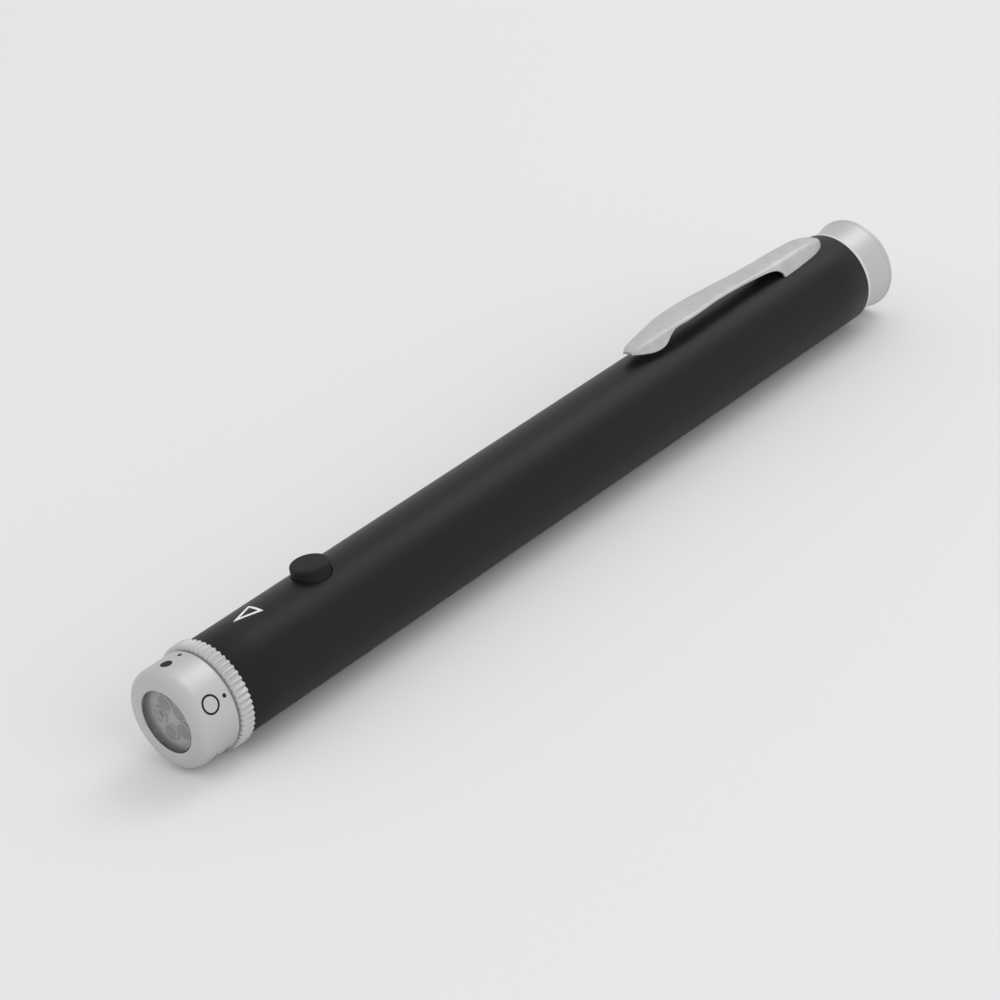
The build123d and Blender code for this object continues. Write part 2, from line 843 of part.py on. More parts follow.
with BuildPart() as end_cap:
    with BuildSketch(side_plane):
        with BuildLine():
            Polyline(
                (cap_rear, 0),
                (plug_bore_rear, 0),
                (plug_bore_rear, plug_bore_radius),
                (plug_front, plug_bore_radius),
                (plug_front, plug_radius - edge_break),
                (plug_front + edge_break, plug_radius),
                (cap_front - cap_washer_inset, plug_radius),
                (cap_front - cap_washer_inset, washer_seat_radius),
                (neck_front, washer_seat_radius),
                (neck_front, cap_neck_radius),
                (neck_rear, cap_neck_radius),
                ((neck_rear + lip_front) / 2, cap_neck_radius + flare_rise / 3),
                (lip_front, cap_neck_radius + flare_rise),
                (lip_front + cap_lip_break, cap_rim_radius),
                (cap_rear - cap_lip_break, cap_rim_radius),
                (cap_rear, cap_rim_radius - cap_lip_break),
                close=True,
            )
        make_face()
    revolve(axis=pen_axis)
keep(end_cap, "end_cap")

with BuildPart() as cap_washer:
    with BuildSketch(across(cap_front + seat_gap)):
        Circle(cap_washer_radius)
        Circle(washer_seat_radius + seat_gap, mode=Mode.SUBTRACT)
    extrude(amount=cap_washer_thickness - 2 * seat_gap)
keep(cap_washer, "cap_washer")

with BuildPart() as rear_contact_spring:
    add(
        wound(
            rear_spring_front_radius,
            plug_bore_radius - rear_spring_rear_inset,
            cells_rear + rear_wire_radius + seat_gap,
            plug_bore_rear - rear_wire_radius - seat_gap,
            rear_wire_radius,
            rear_spring_turns,
        )
    )
keep(rear_contact_spring, "rear_contact_spring")

# Pocket clip, formed from sheet: lofted outside, lofted inside, then trimmed
foot_height = barrel_radius - clip_foot_depth
flare = tan(radians(clip_flare_angle))


def clip_section(position_share, rise_share, width_share, inset):
    """Arched section of the clip at a station, drawn in by the sheet for its inside."""
    top = barrel_radius + clip_rise * rise_share - inset
    half = clip_half_width * width_share - inset
    shoulder = top - clip_crown * width_share
    spread = half + (shoulder - foot_height) * flare
    with BuildSketch(across(clip_tip + clip_length * position_share)) as section:
        with BuildLine():
            Line((-spread, foot_height), (-half, shoulder))
            ThreePointArc((-half, shoulder), (0, top), (half, shoulder))
            Line((half, shoulder), (spread, foot_height))
            Line((spread, foot_height), (-spread, foot_height))
        make_face()
        if inset == 0:
            corners = section.vertices().group_by(Axis.Z)[-1]
            fillet(corners, min(half * clip_bend_share, clip_bend_radius))
    return section.sketch


def clip_blank():
    """Formed sheet of the whole clip, fitted on the barrel and open under its arm."""
    with BuildPart() as blank:
        for station in clip_station_shares:
            add(clip_section(*station, inset=0))
        loft(ruled=True)
        for station in clip_station_shares[:-1]:
            add(clip_section(*station, inset=clip_sheet))
        loft(ruled=True, mode=Mode.SUBTRACT)
        with BuildSketch(across(clip_tip - overrun)):
            Circle(barrel_radius + clip_seat_gap)
        extrude(amount=clip_length + 2 * overrun, mode=Mode.SUBTRACT)
        with BuildSketch(side_plane):
            with BuildLine():
                edge = [
                    (clip_tip + clip_length * place, barrel_radius + clip_rise * rise)
                    for place, rise in clip_lower_edge_shares
                ]
                front_bottom = (clip_tip - overrun, foot_height - overrun)
                rear_bottom = (clip_seam, foot_height - overrun)
                Spline(*edge)
                Polyline(edge[-1], (clip_seam, edge[-1][1]), rear_bottom, front_bottom,
                         (clip_tip - overrun, edge[0][1]), edge[0])
            make_face()
        extrude(amount=clip_half_width * 2, both=True, mode=Mode.SUBTRACT)
    return blank.part


clip_sheet_form = clip_blank()

with BuildPart() as clip_arm:
    add(clip_sheet_form)
    split(bisect_by=across(clip_seam - seat_gap), keep=Keep.BOTTOM)
keep(clip_arm, "clip_arm")

with BuildPart() as clip_saddle:
    add(clip_sheet_form)
    split(bisect_by=across(clip_seam), keep=Keep.TOP)
    tab_x = clip_tab_half_spacing
    tab_bottom = bore_radius - clip_tab_drop
    hook_x = tab_x + clip_sheet / 2 - clip_hook_length / 2
    with BuildSketch(level(tab_bottom)):
        with Locations((-tab_x, clip_tab_y), (tab_x, clip_tab_y)):
            Rectangle(clip_sheet, clip_tab_width)
    extrude(amount=barrel_radius - tab_bottom)
    with BuildSketch(level(tab_bottom)):
        with Locations((-hook_x, clip_tab_y), (hook_x, clip_tab_y)):
            Rectangle(clip_hook_length, clip_tab_width)
    extrude(amount=clip_sheet)
keep(clip_saddle, "clip_saddle")
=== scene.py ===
"""Studio scene of a pen-shaped laser pointer with a turning pattern head.

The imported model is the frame: its nodes give every place and size. The outer pieces are
modelled again here with fine edges, printed marks and finishes, and ride on its bodies.
"""

import json
import logging
import math
from collections.abc import Sequence
from dataclasses import dataclass
from enum import Enum

import bmesh
import bpy
from mathutils import Matrix, Vector

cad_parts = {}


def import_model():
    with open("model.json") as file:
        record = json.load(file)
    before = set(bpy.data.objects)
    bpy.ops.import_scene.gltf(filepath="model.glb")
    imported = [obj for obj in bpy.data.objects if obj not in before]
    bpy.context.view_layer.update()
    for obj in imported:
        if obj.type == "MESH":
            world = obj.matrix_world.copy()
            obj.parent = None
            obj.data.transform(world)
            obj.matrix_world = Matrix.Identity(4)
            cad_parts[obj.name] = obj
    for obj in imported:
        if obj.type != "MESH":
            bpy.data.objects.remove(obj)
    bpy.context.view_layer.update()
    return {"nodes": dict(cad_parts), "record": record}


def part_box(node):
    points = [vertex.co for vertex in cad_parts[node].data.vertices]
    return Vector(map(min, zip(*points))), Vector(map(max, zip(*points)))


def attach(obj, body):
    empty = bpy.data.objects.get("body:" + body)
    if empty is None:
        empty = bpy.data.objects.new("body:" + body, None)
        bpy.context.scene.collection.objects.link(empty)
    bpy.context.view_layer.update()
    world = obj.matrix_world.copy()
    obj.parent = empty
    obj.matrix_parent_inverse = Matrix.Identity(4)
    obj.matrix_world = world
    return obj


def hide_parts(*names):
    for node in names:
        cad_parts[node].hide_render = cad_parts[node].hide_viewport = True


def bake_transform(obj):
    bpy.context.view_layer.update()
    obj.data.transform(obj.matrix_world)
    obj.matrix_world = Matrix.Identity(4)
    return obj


LOG = logging.getLogger("laser_pointer")
MM = 0.001
FULL_TURN = 2 * math.pi
LATHE_STEPS = 160
SMALL_STEPS = 96
HOLE_STEPS = 48
ROUNDING_STEPS = 10
SHARP_ANGLE = math.radians(35)
MERGE_DISTANCE = 1e-7
GRAIN_DETAIL = 4.0
GRAIN_ROUGHNESS = 0.6
CLOUD_DETAIL = 3.0
NOISE_MIDDLE = 0.5
X_AXIS, Y_AXIS, Z_AXIS = Vector((1, 0, 0)), Vector((0, 1, 0)), Vector((0, 0, 1))
WHITE = (1.0, 1.0, 1.0, 1.0)

Piece = bpy.types.Object
Mesh = bmesh.types.BMesh
Vert = bmesh.types.BMVert
Edge = bmesh.types.BMEdge
Point = tuple[float, float]
Triple = tuple[float, float, float]


class Body(Enum):
    """Names of the bodies that a new piece can ride on."""

    BARREL = "barrel"
    HEAD = "head"
    BUTTON = "button"
    CAP = "cap"
    CLIP = "clip"


class Grain(Enum):
    """How the fine surface texture of a finish runs."""

    NONE = "none"
    EVEN = "even"
    TURNED = "turned"
    BRUSHED = "brushed"


# Sizes and places, read from the frame


@dataclass(frozen=True)
class PenFrame:
    """Places along the pen and its radii, in metres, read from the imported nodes."""

    axis_z: float
    barrel_radius: float
    barrel_front: float
    barrel_rear: float
    head_front: float
    ring_front: float
    ring_rear: float
    crest_radius: float
    rim_radius: float
    button_y: float
    clip_tip: float
    clip_seam: float
    clip_rear: float

    @classmethod
    def from_nodes(cls) -> "PenFrame":
        """Measures the boxes of the main nodes.

        Returns:
            The places and radii of the pen.
        """
        barrel_low, barrel_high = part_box("barrel_tube")
        ring_low, ring_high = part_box("grip_ring")
        cap_low, cap_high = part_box("end_cap")
        button_low, button_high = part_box("push_button")
        saddle_low, saddle_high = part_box("clip_saddle")
        return cls(
            axis_z=(barrel_low.z + barrel_high.z) / 2,
            barrel_radius=(barrel_high.x - barrel_low.x) / 2,
            barrel_front=barrel_low.y,
            barrel_rear=barrel_high.y,
            head_front=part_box("nose_shell")[0].y,
            ring_front=ring_low.y,
            ring_rear=ring_high.y,
            crest_radius=(ring_high.z - ring_low.z) / 2,
            rim_radius=(cap_high.x - cap_low.x) / 2,
            button_y=(button_low.y + button_high.y) / 2,
            clip_tip=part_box("clip_arm")[0].y,
            clip_seam=saddle_low.y,
            clip_rear=saddle_high.y,
        )

    def centre(self) -> Vector:
        """The point on the pen's axis from which places along it are counted."""
        return Vector((0, 0, self.axis_z))

    def at(self, angle: float, radius: float, place: float) -> Vector:
        """The point at an angle from +Z towards +X, a radius and a place along the pen."""
        return Vector((radius * math.sin(angle), place, self.axis_z + radius * math.cos(angle)))


# Mesh helpers


def picked(items: Sequence[object], kind: type) -> list:
    """Those results of a mesh operator that are of one kind."""
    return [item for item in items if isinstance(item, kind)]


def parts(count: int) -> list[float]:
    """Even shares from 0 up to, and without, 1."""
    return [step / count for step in range(count)]


def corner_curve(start: Vector, corner: Vector, end: Vector, share: float) -> Vector:
    """The point at a share of the curve that rounds a corner."""
    return start.lerp(corner, share).lerp(corner.lerp(end, share), share)


def mark_sharp(mesh: Mesh, sharp: float = SHARP_ANGLE) -> None:
    """Makes every face smooth, and every edge past an angle sharp.

    Args:
        mesh: The mesh to mark.
        sharp: Angle past which an edge stays sharp.
    """
    for face in mesh.faces:
        face.smooth = True
    for edge in mesh.edges:
        edge.smooth = len(edge.link_faces) != 2 or edge.calc_face_angle(0.0) < sharp


def new_object(name: str, data: bpy.types.ID) -> Piece:
    """Makes an object and links it to the scene.

    Args:
        name: Name of the object.
        data: Its mesh, lamp or camera.

    Returns:
        The new object.
    """
    thing = bpy.data.objects.new(name, data)
    bpy.context.scene.collection.objects.link(thing)
    return thing


def finish_mesh(mesh: Mesh, name: str, sharp: float = SHARP_ANGLE) -> Piece:
    """Turns a bmesh into an object with smooth faces and sharp edges past an angle.

    Args:
        mesh: The mesh, in the model's frame. It is freed.
        name: Name of the new object.
        sharp: Angle past which an edge stays sharp.

    Returns:
        The new object.
    """
    bmesh.ops.remove_doubles(mesh, verts=mesh.verts, dist=MERGE_DISTANCE)
    bmesh.ops.recalc_face_normals(mesh, faces=mesh.faces)
    mark_sharp(mesh, sharp)
    data = bpy.data.meshes.new(name)
    mesh.to_mesh(data)
    mesh.free()
    return new_object(name, data)


def wire_of(mesh: Mesh, points: Sequence[Vector]) -> list[Edge]:
    """Adds a chain of edges through the points and returns its edges."""
    verts = [mesh.verts.new(point) for point in points]
    return [mesh.edges.new(pair) for pair in zip(verts, verts[1:])]


def rounded(profile: Sequence[Triple], steps: int = 4) -> list[Point]:
    """Rounds the corners of a profile.

    Args:
        profile: Corners as (place, radius, rounding), all in the same unit.
        steps: Number of chords of each rounding.

    Returns:
        The points of the rounded profile.
    """
    points: list[Point] = []
    for index, (place, radius, rounding) in enumerate(profile):
        if rounding == 0:
            points.append((place, radius))
            continue
        corner = Vector((place, radius))
        before = Vector(profile[index - 1][:2]) - corner
        after = Vector(profile[index + 1][:2]) - corner
        start = corner + before.normalized() * rounding
        end = corner + after.normalized() * rounding
        for share in (*parts(steps), 1.0):
            points.append(tuple(corner_curve(start, corner, end, share)))
    return points


def lathe(
    name: str, profile: Sequence[Point], centre: Vector, axis: Vector = Y_AXIS, steps: int = LATHE_STEPS
) -> Piece:
    """Turns a profile of (place along the axis, radius), in metres, about an axis.

    Args:
        name: Name of the new object.
        profile: The profile's points, from one end to the other.
        centre: A point on the axis, from which the places are counted.
        axis: The axis: +Y for the pen, +Z for the button.
        steps: Number of segments round the axis.

    Returns:
        The new object.
    """
    across = Z_AXIS if axis.y else X_AXIS
    mesh = bmesh.new()
    edges = wire_of(mesh, [centre + axis * place + across * radius for place, radius in profile])
    bmesh.ops.spin(
        mesh, geom=list(mesh.verts) + edges, cent=centre, axis=axis, angle=FULL_TURN, steps=steps,
        use_merge=True, use_duplicate=False,
    )
    return finish_mesh(mesh, name)


def bar(name: str, low: Vector, high: Vector) -> Piece:
    """A plain block between two corners.

    Args:
        name: Name of the new object.
        low: Its lowest corner.
        high: Its highest corner.

    Returns:
        The new object.
    """
    mesh = bmesh.new()
    matrix = Matrix.Translation((low + high) / 2) @ Matrix.Diagonal((*(high - low), 1.0))
    bmesh.ops.create_cube(mesh, size=1.0, matrix=matrix)
    return finish_mesh(mesh, name)


def cut_out(target: Piece, cutter: Piece) -> None:
    """Cuts one object out of another and removes the cutter.

    Args:
        target: The object that is cut.
        cutter: The object that is taken out of it.
    """
    cut = target.modifiers.new("cut", "BOOLEAN")
    cut.operation = "DIFFERENCE"
    cut.solver = "EXACT"
    cut.object = cutter
    data = bpy.data.meshes.new_from_object(target.evaluated_get(bpy.context.evaluated_depsgraph_get()))
    target.modifiers.clear()
    mesh = bmesh.new()
    mesh.from_mesh(data)
    mark_sharp(mesh)
    mesh.to_mesh(data)
    mesh.free()
    target.data = data
    bpy.data.objects.remove(cutter)


# Finishes


def feed(tree: bpy.types.NodeTree, node: bpy.types.Node, inputs: dict[str | int, object]) -> None:
    """Sets a node's inputs, or links them to what feeds them.

    Args:
        tree: The node tree.
        node: The node.
        inputs: For each input, by name or number, a value or another node's output.
    """
    for key, value in inputs.items():
        if isinstance(value, bpy.types.NodeSocket):
            tree.links.new(value, node.inputs[key])
        else:
            node.inputs[key].default_value = value


def add_node(
    tree: bpy.types.NodeTree, kind: str, inputs: dict[str | int, object] | None = None, **settings: object
) -> bpy.types.NodeOutputs:
    """Adds a shader node to a tree.

    Args:
        tree: The node tree.
        kind: Type of the node.
        inputs: What feeds its inputs.
        **settings: Its own settings, such as the operation.

    Returns:
        The outputs of the new node.
    """
    node = tree.nodes.new(kind)
    for name, value in settings.items():
        setattr(node, name, value)
    feed(tree, node, inputs or {})
    return node.outputs


def fine_texture_group() -> bpy.types.ShaderNodeTree:
    """Builds, once, the shared group of fine texture.

    It has a grain that is stretched by three scales, and gives a roughness that varies a little
    about its middle, a height for a bump, and a mask for faint colour changes.

    Returns:
        The node group.
    """
    name = "fine_texture"
    if name in bpy.data.node_groups:
        return bpy.data.node_groups[name]
    group = bpy.data.node_groups.new(name, "ShaderNodeTree")
    taken = ("Scale X", "Scale Y", "Scale Z", "Roughness", "Roughness Swing", "Cloud Scale")
    for way, labels in (("INPUT", taken), ("OUTPUT", ("Roughness", "Height", "Mask"))):
        for label in labels:
            group.interface.new_socket(name=label, in_out=way, socket_type="NodeSocketFloat")
    given = add_node(group, "NodeGroupInput")
    place = add_node(group, "ShaderNodeTexCoord")["Object"]
    scales = add_node(group, "ShaderNodeCombineXYZ", {axis: given[f"Scale {axis}"] for axis in "XYZ"})
    stretched = add_node(group, "ShaderNodeVectorMath", {0: place, 1: scales[0]}, operation="MULTIPLY")
    shape = {"Scale": 1.0, "Detail": GRAIN_DETAIL, "Roughness": GRAIN_ROUGHNESS}
    grain = add_node(group, "ShaderNodeTexNoise", {"Vector": stretched[0], **shape})["Fac"]
    wide = {"Vector": place, "Scale": given["Cloud Scale"], "Detail": CLOUD_DETAIL}
    cloud = add_node(group, "ShaderNodeTexNoise", wide)["Fac"]
    middle = add_node(group, "ShaderNodeMath", {0: grain, 1: NOISE_MIDDLE}, operation="SUBTRACT")
    swing = {0: middle[0], 1: given["Roughness Swing"], 2: given["Roughness"]}
    swung = add_node(group, "ShaderNodeMath", swing, operation="MULTIPLY_ADD", use_clamp=True)
    add_node(group, "NodeGroupOutput", {"Roughness": swung[0], "Height": grain, "Mask": cloud})
    return group


@dataclass(frozen=True)
class Finish:
    """A finish of one kind of piece.

    Attributes:
        name: Name of the material.
        slot: The record's material slot.
        colour: Base colour, linear.
        second: Colour that the faint clouds lead to, linear.
        metallic: 0 for paint and plastic, 1 for bare metal.
        roughness: Middle roughness.
        swing: How far the grain moves the roughness.
        grain: How the grain runs.
        grain_size: Size of the grain in metres.
        bump: Height of the grain's bump in metres.
        coat: Weight of a clear coat.
        transmission: 1 for clear pieces.
        ior: Index of refraction.
        specular: Level of the plain mirror part.
        stretch: How much longer than wide the directed grain is.
        cloud: Clouds of the second colour per metre.
    """

    name: str
    slot: str
    colour: Triple
    second: Triple | None = None
    metallic: float = 0.0
    roughness: float = 0.5
    swing: float = 0.06
    grain: Grain = Grain.EVEN
    grain_size: float = 0.15 * MM
    bump: float = 0.0
    coat: float = 0.0
    transmission: float = 0.0
    ior: float = 1.45
    specular: float = 0.5
    stretch: float = 24.0
    cloud: float = 60.0

    def scales(self) -> dict[str, float]:
        """The grain's scales along X, Y and Z, in cells per metre.

        Returns:
            A scale for each input of the texture group.
        """
        fine = 1.0 / self.grain_size
        along = {Grain.BRUSHED: "Y", Grain.TURNED: "XZ"}.get(self.grain, "")
        return {f"Scale {axis}": fine / self.stretch if axis in along else fine for axis in "XYZ"}

    def material(self) -> bpy.types.Material:
        """Builds the material, once.

        Returns:
            The material of this finish.
        """
        name = f"finish_{self.name}"
        if name in bpy.data.materials:
            return bpy.data.materials[name]
        material = bpy.data.materials.new(name)
        material.use_nodes = True
        tree = material.node_tree
        shader = tree.nodes["Principled BSDF"]
        plain = {
            "Base Color": (*self.colour, 1.0),
            "Metallic": self.metallic,
            "Roughness": self.roughness,
            "Coat Weight": self.coat,
            "Transmission Weight": self.transmission,
            "IOR": self.ior,
            "Specular IOR Level": self.specular,
        }
        feed(tree, shader, plain)
        if self.grain is Grain.NONE:
            return material
        look = {"Roughness": self.roughness, "Roughness Swing": self.swing, "Cloud Scale": self.cloud}
        texture = add_node(tree, "ShaderNodeGroup", node_tree=fine_texture_group())
        feed(tree, tree.nodes[-1], {**self.scales(), **look})
        feed(tree, shader, {"Roughness": texture["Roughness"]})
        if self.second is not None:
            pair = {"Factor": texture["Mask"], "A": (*self.colour, 1.0), "B": (*self.second, 1.0)}
            blend = add_node(tree, "ShaderNodeMix", pair, data_type="RGBA")
            feed(tree, shader, {"Base Color": blend["Result"]})
        if self.bump > 0:
            height = {"Strength": 1.0, "Distance": self.bump, "Height": texture["Height"]}
            feed(tree, shader, {"Normal": add_node(tree, "ShaderNodeBump", height)["Normal"]})
        return material

    def dress(self, thing: Piece) -> None:
        """Gives the object this finish alone."""
        thing.data.materials.clear()
        thing.data.materials.append(self.material())


BARREL_BLACK = Finish(
    "barrel_black", "barrel_black", (0.0055, 0.0055, 0.0060), (0.0075, 0.0075, 0.0085),
    roughness=0.43, swing=0.05, bump=0.003 * MM, specular=0.28,
)
SATIN_SILVER = Finish(
    "satin_silver", "satin_silver", (0.52, 0.52, 0.53), (0.58, 0.58, 0.59),
    metallic=0.62, roughness=0.47, swing=0.08, grain_size=0.09 * MM, bump=0.003 * MM, specular=0.3,
)
CLIP_SATIN = Finish(
    "clip_satin", "clip_steel", (0.47, 0.47, 0.48), (0.64, 0.64, 0.65),
    metallic=0.75, roughness=0.55, swing=0.10, grain=Grain.BRUSHED, grain_size=0.07 * MM,
    bump=0.002 * MM, cloud=450.0,
)
WINDOW_CLEAR = Finish(
    "window_clear", "window_clear", (1.0, 1.0, 1.0), roughness=0.03, swing=0.02, transmission=1.0, ior=1.46
)
WHEEL_GREY = Finish("wheel_grey", "wheel_grey", (0.50, 0.50, 0.505), (0.60, 0.60, 0.605), roughness=0.35)
FILM_DARK = Finish("pattern_film", "film", (0.12, 0.12, 0.13), (0.26, 0.26, 0.27), roughness=0.12)
PRINT_WHITE = Finish("print_white", "washer_ivory", (0.76, 0.76, 0.75), (0.82, 0.82, 0.81))
PRINT_BLACK = Finish(
    "print_black", "film", (0.012, 0.012, 0.015), (0.018, 0.018, 0.021), roughness=0.6, specular=0.2
)
BUTTON_BLACK = Finish(
    "button_black", "button_black", (0.0100, 0.0100, 0.0110), (0.0130, 0.0130, 0.0140),
    roughness=0.60, bump=0.003 * MM, specular=0.25,
)
WASHER_IVORY = Finish("washer_ivory", "washer_ivory", (0.58, 0.57, 0.51), (0.64, 0.62, 0.56), roughness=0.28)
CRADLE_BLACK = Finish(
    "cradle_black", "cradle_black", (0.03, 0.03, 0.033), (0.04, 0.04, 0.043), roughness=0.6, bump=0.004 * MM
)
FLOOR_PALE = Finish("floor_pale", "", (0.80, 0.80, 0.80), roughness=0.9, grain=Grain.NONE)

NODE_FINISHES: tuple[Finish, ...] = (
    BARREL_BLACK,
    SATIN_SILVER,
    CLIP_SATIN,
    WINDOW_CLEAR,
    WHEEL_GREY,
    FILM_DARK,
    BUTTON_BLACK,
    WASHER_IVORY,
    CRADLE_BLACK,
    Finish(
        "brass_turned", "brass", (0.62, 0.45, 0.18), (0.66, 0.50, 0.22),
        metallic=1.0, roughness=0.3, grain=Grain.TURNED,
    ),
    Finish(
        "lens_glass", "lens_glass", (1.0, 1.0, 1.0), roughness=0.02, swing=0.01, transmission=1.0, ior=1.5
    ),
    Finish("spring_steel", "spring_steel", (0.55, 0.55, 0.56), (0.60, 0.60, 0.61), 1.0, 0.28),
    Finish("diode_gold", "diode_metal", (0.76, 0.60, 0.28), (0.80, 0.64, 0.32), 1.0, 0.25),
    Finish("board_green", "board_green", (0.02, 0.11, 0.045), (0.03, 0.14, 0.06), roughness=0.4, coat=0.3),
    Finish(
        "chip_black", "chip_black", (0.02, 0.02, 0.022), (0.03, 0.03, 0.032), roughness=0.6, bump=0.003 * MM
    ),
    Finish("capacitor_tan", "capacitor_tan", (0.38, 0.24, 0.11), (0.42, 0.27, 0.13), roughness=0.45),
    Finish("nickel_plate", "contact_nickel", (0.66, 0.64, 0.60), (0.70, 0.68, 0.64), 1.0, 0.2),
    Finish("cell_jacket", "cell_jacket", (0.045, 0.09, 0.16), (0.05, 0.10, 0.18), roughness=0.3, coat=0.4),
    Finish("sleeve_white", "sleeve_film", (0.62, 0.62, 0.60), (0.66, 0.66, 0.64)),
)


def dress_nodes(frame: dict) -> None:
    """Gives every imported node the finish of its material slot.
    """
    finishes = {finish.slot: finish for finish in NODE_FINISHES}
    slots = {part["node"]: part["material_slot"] for part in frame["record"]["subparts"]}
    for name, thing in frame["nodes"].items():
        finishes[slots[name]].dress(thing)
        LOG.info("node %s has the finish %s", name, slots[name])


def place_piece(thing: Piece, finish: Finish, body: Body, *replaced: str) -> None:
    """Dresses a piece and ties it to its body and the nodes it stands for.

    Args:
        thing: The finished piece, in place.
        finish: Its finish, which also names its slot.
        body: The body that it rides on.
        *replaced: Nodes that it stands for.
    """
    finish.dress(thing)
    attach(thing, body.value)
    if replaced:
        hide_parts(*replaced)
    LOG.info("%s rides on %s", thing.name, body.value)


# Printed marks


@dataclass(frozen=True)
class PrintedMark:
    """A thin printed figure on a round surface, drawn flat and then laid round the pen's axis.

    Attributes:
        name: Name of the piece.
        pen: Sizes of the pen.
        radius: Radius of the surface.
        place: Where the figure's centre lies along the pen.
        angle: Its angle from +Z towards +X.
        film: Thickness of the ink.
        sink: How far the ink reaches into the surface.
        weld: Distance under which points of the figure are one.
        rings: Cells across a disc's line.
        stroke_cells: Cells along a stroke.
        cuts: Cuts along each side of an outline.
    """

    name: str
    pen: PenFrame
    radius: float
    place: float
    angle: float
    film: float = 0.012 * MM
    sink: float = 0.004 * MM
    weld: float = 0.001 * MM
    rings: int = 4
    stroke_cells: int = 10
    cuts: int = 6

    def lay(self, mesh: Mesh) -> Piece:
        """Thickens the flat figure and bends it round the axis.

        Args:
            mesh: Flat figure with x round the pen and y along it.

        Returns:
            The printed piece.
        """
        bmesh.ops.remove_doubles(mesh, verts=mesh.verts, dist=self.weld)
        grown = bmesh.ops.extrude_face_region(mesh, geom=list(mesh.faces), use_keep_orig=True)
        bmesh.ops.translate(mesh, verts=picked(grown["geom"], Vert), vec=(0, 0, self.film))
        for vert in mesh.verts:
            turned = self.angle + vert.co.x / self.radius
            vert.co = self.pen.at(turned, self.radius - self.sink + vert.co.z, self.place + vert.co.y)
        return finish_mesh(mesh, self.name)

    def disc(self, outer: float, inner: float = 0.0) -> Piece:
        """A round dot, or a ring where it has an inner radius.

        Args:
            outer: Outer radius.
            inner: Inner radius.

        Returns:
            The printed piece.
        """
        mesh = bmesh.new()
        radii = [inner + (outer - inner) * share for share in (*parts(self.rings), 1.0)]
        edges = wire_of(mesh, [X_AXIS * radius for radius in radii])
        bmesh.ops.spin(
            mesh, geom=list(mesh.verts) + edges, cent=(0, 0, 0), axis=Z_AXIS, angle=FULL_TURN,
            steps=HOLE_STEPS, use_merge=True, use_duplicate=False,
        )
        return self.lay(mesh)

    def strokes(self, runs: Sequence[tuple[Point, Point]], width: float) -> Piece:
        """Straight strokes, with several cells along each.

        Args:
            runs: Ends of each stroke's middle line.
            width: Width of the strokes.

        Returns:
            The printed piece.
        """
        mesh = bmesh.new()
        for start, end in runs:
            first, last = Vector((*start, 0)), Vector((*end, 0))
            run = last - first
            matrix = (
                Matrix.Translation((first + last) / 2)
                @ Matrix.Rotation(math.atan2(run.y, run.x), 4, "Z")
                @ Matrix.Diagonal((run.length / 2, width / 2, 1, 1))
            )
            cells = self.stroke_cells
            bmesh.ops.create_grid(mesh, x_segments=cells, y_segments=1, size=1.0, matrix=matrix)
        return self.lay(mesh)

    def outline(self, corners: Sequence[Point], width: float) -> Piece:
        """A closed outline with mitred corners, drawn inside the corner points.

        Args:
            corners: Corners of the outline, in order.
            width: Width of the line.

        Returns:
            The printed piece.
        """
        mesh = bmesh.new()
        face = mesh.faces.new([mesh.verts.new((*corner, 0)) for corner in corners])
        face.normal_update()
        bmesh.ops.inset_individual(mesh, faces=[face], thickness=width, use_even_offset=True)
        bmesh.ops.delete(mesh, geom=[face], context="FACES_ONLY")
        bmesh.ops.subdivide_edges(mesh, edges=mesh.edges, cuts=self.cuts, use_grid_fill=True)
        return self.lay(mesh)


# The selector head


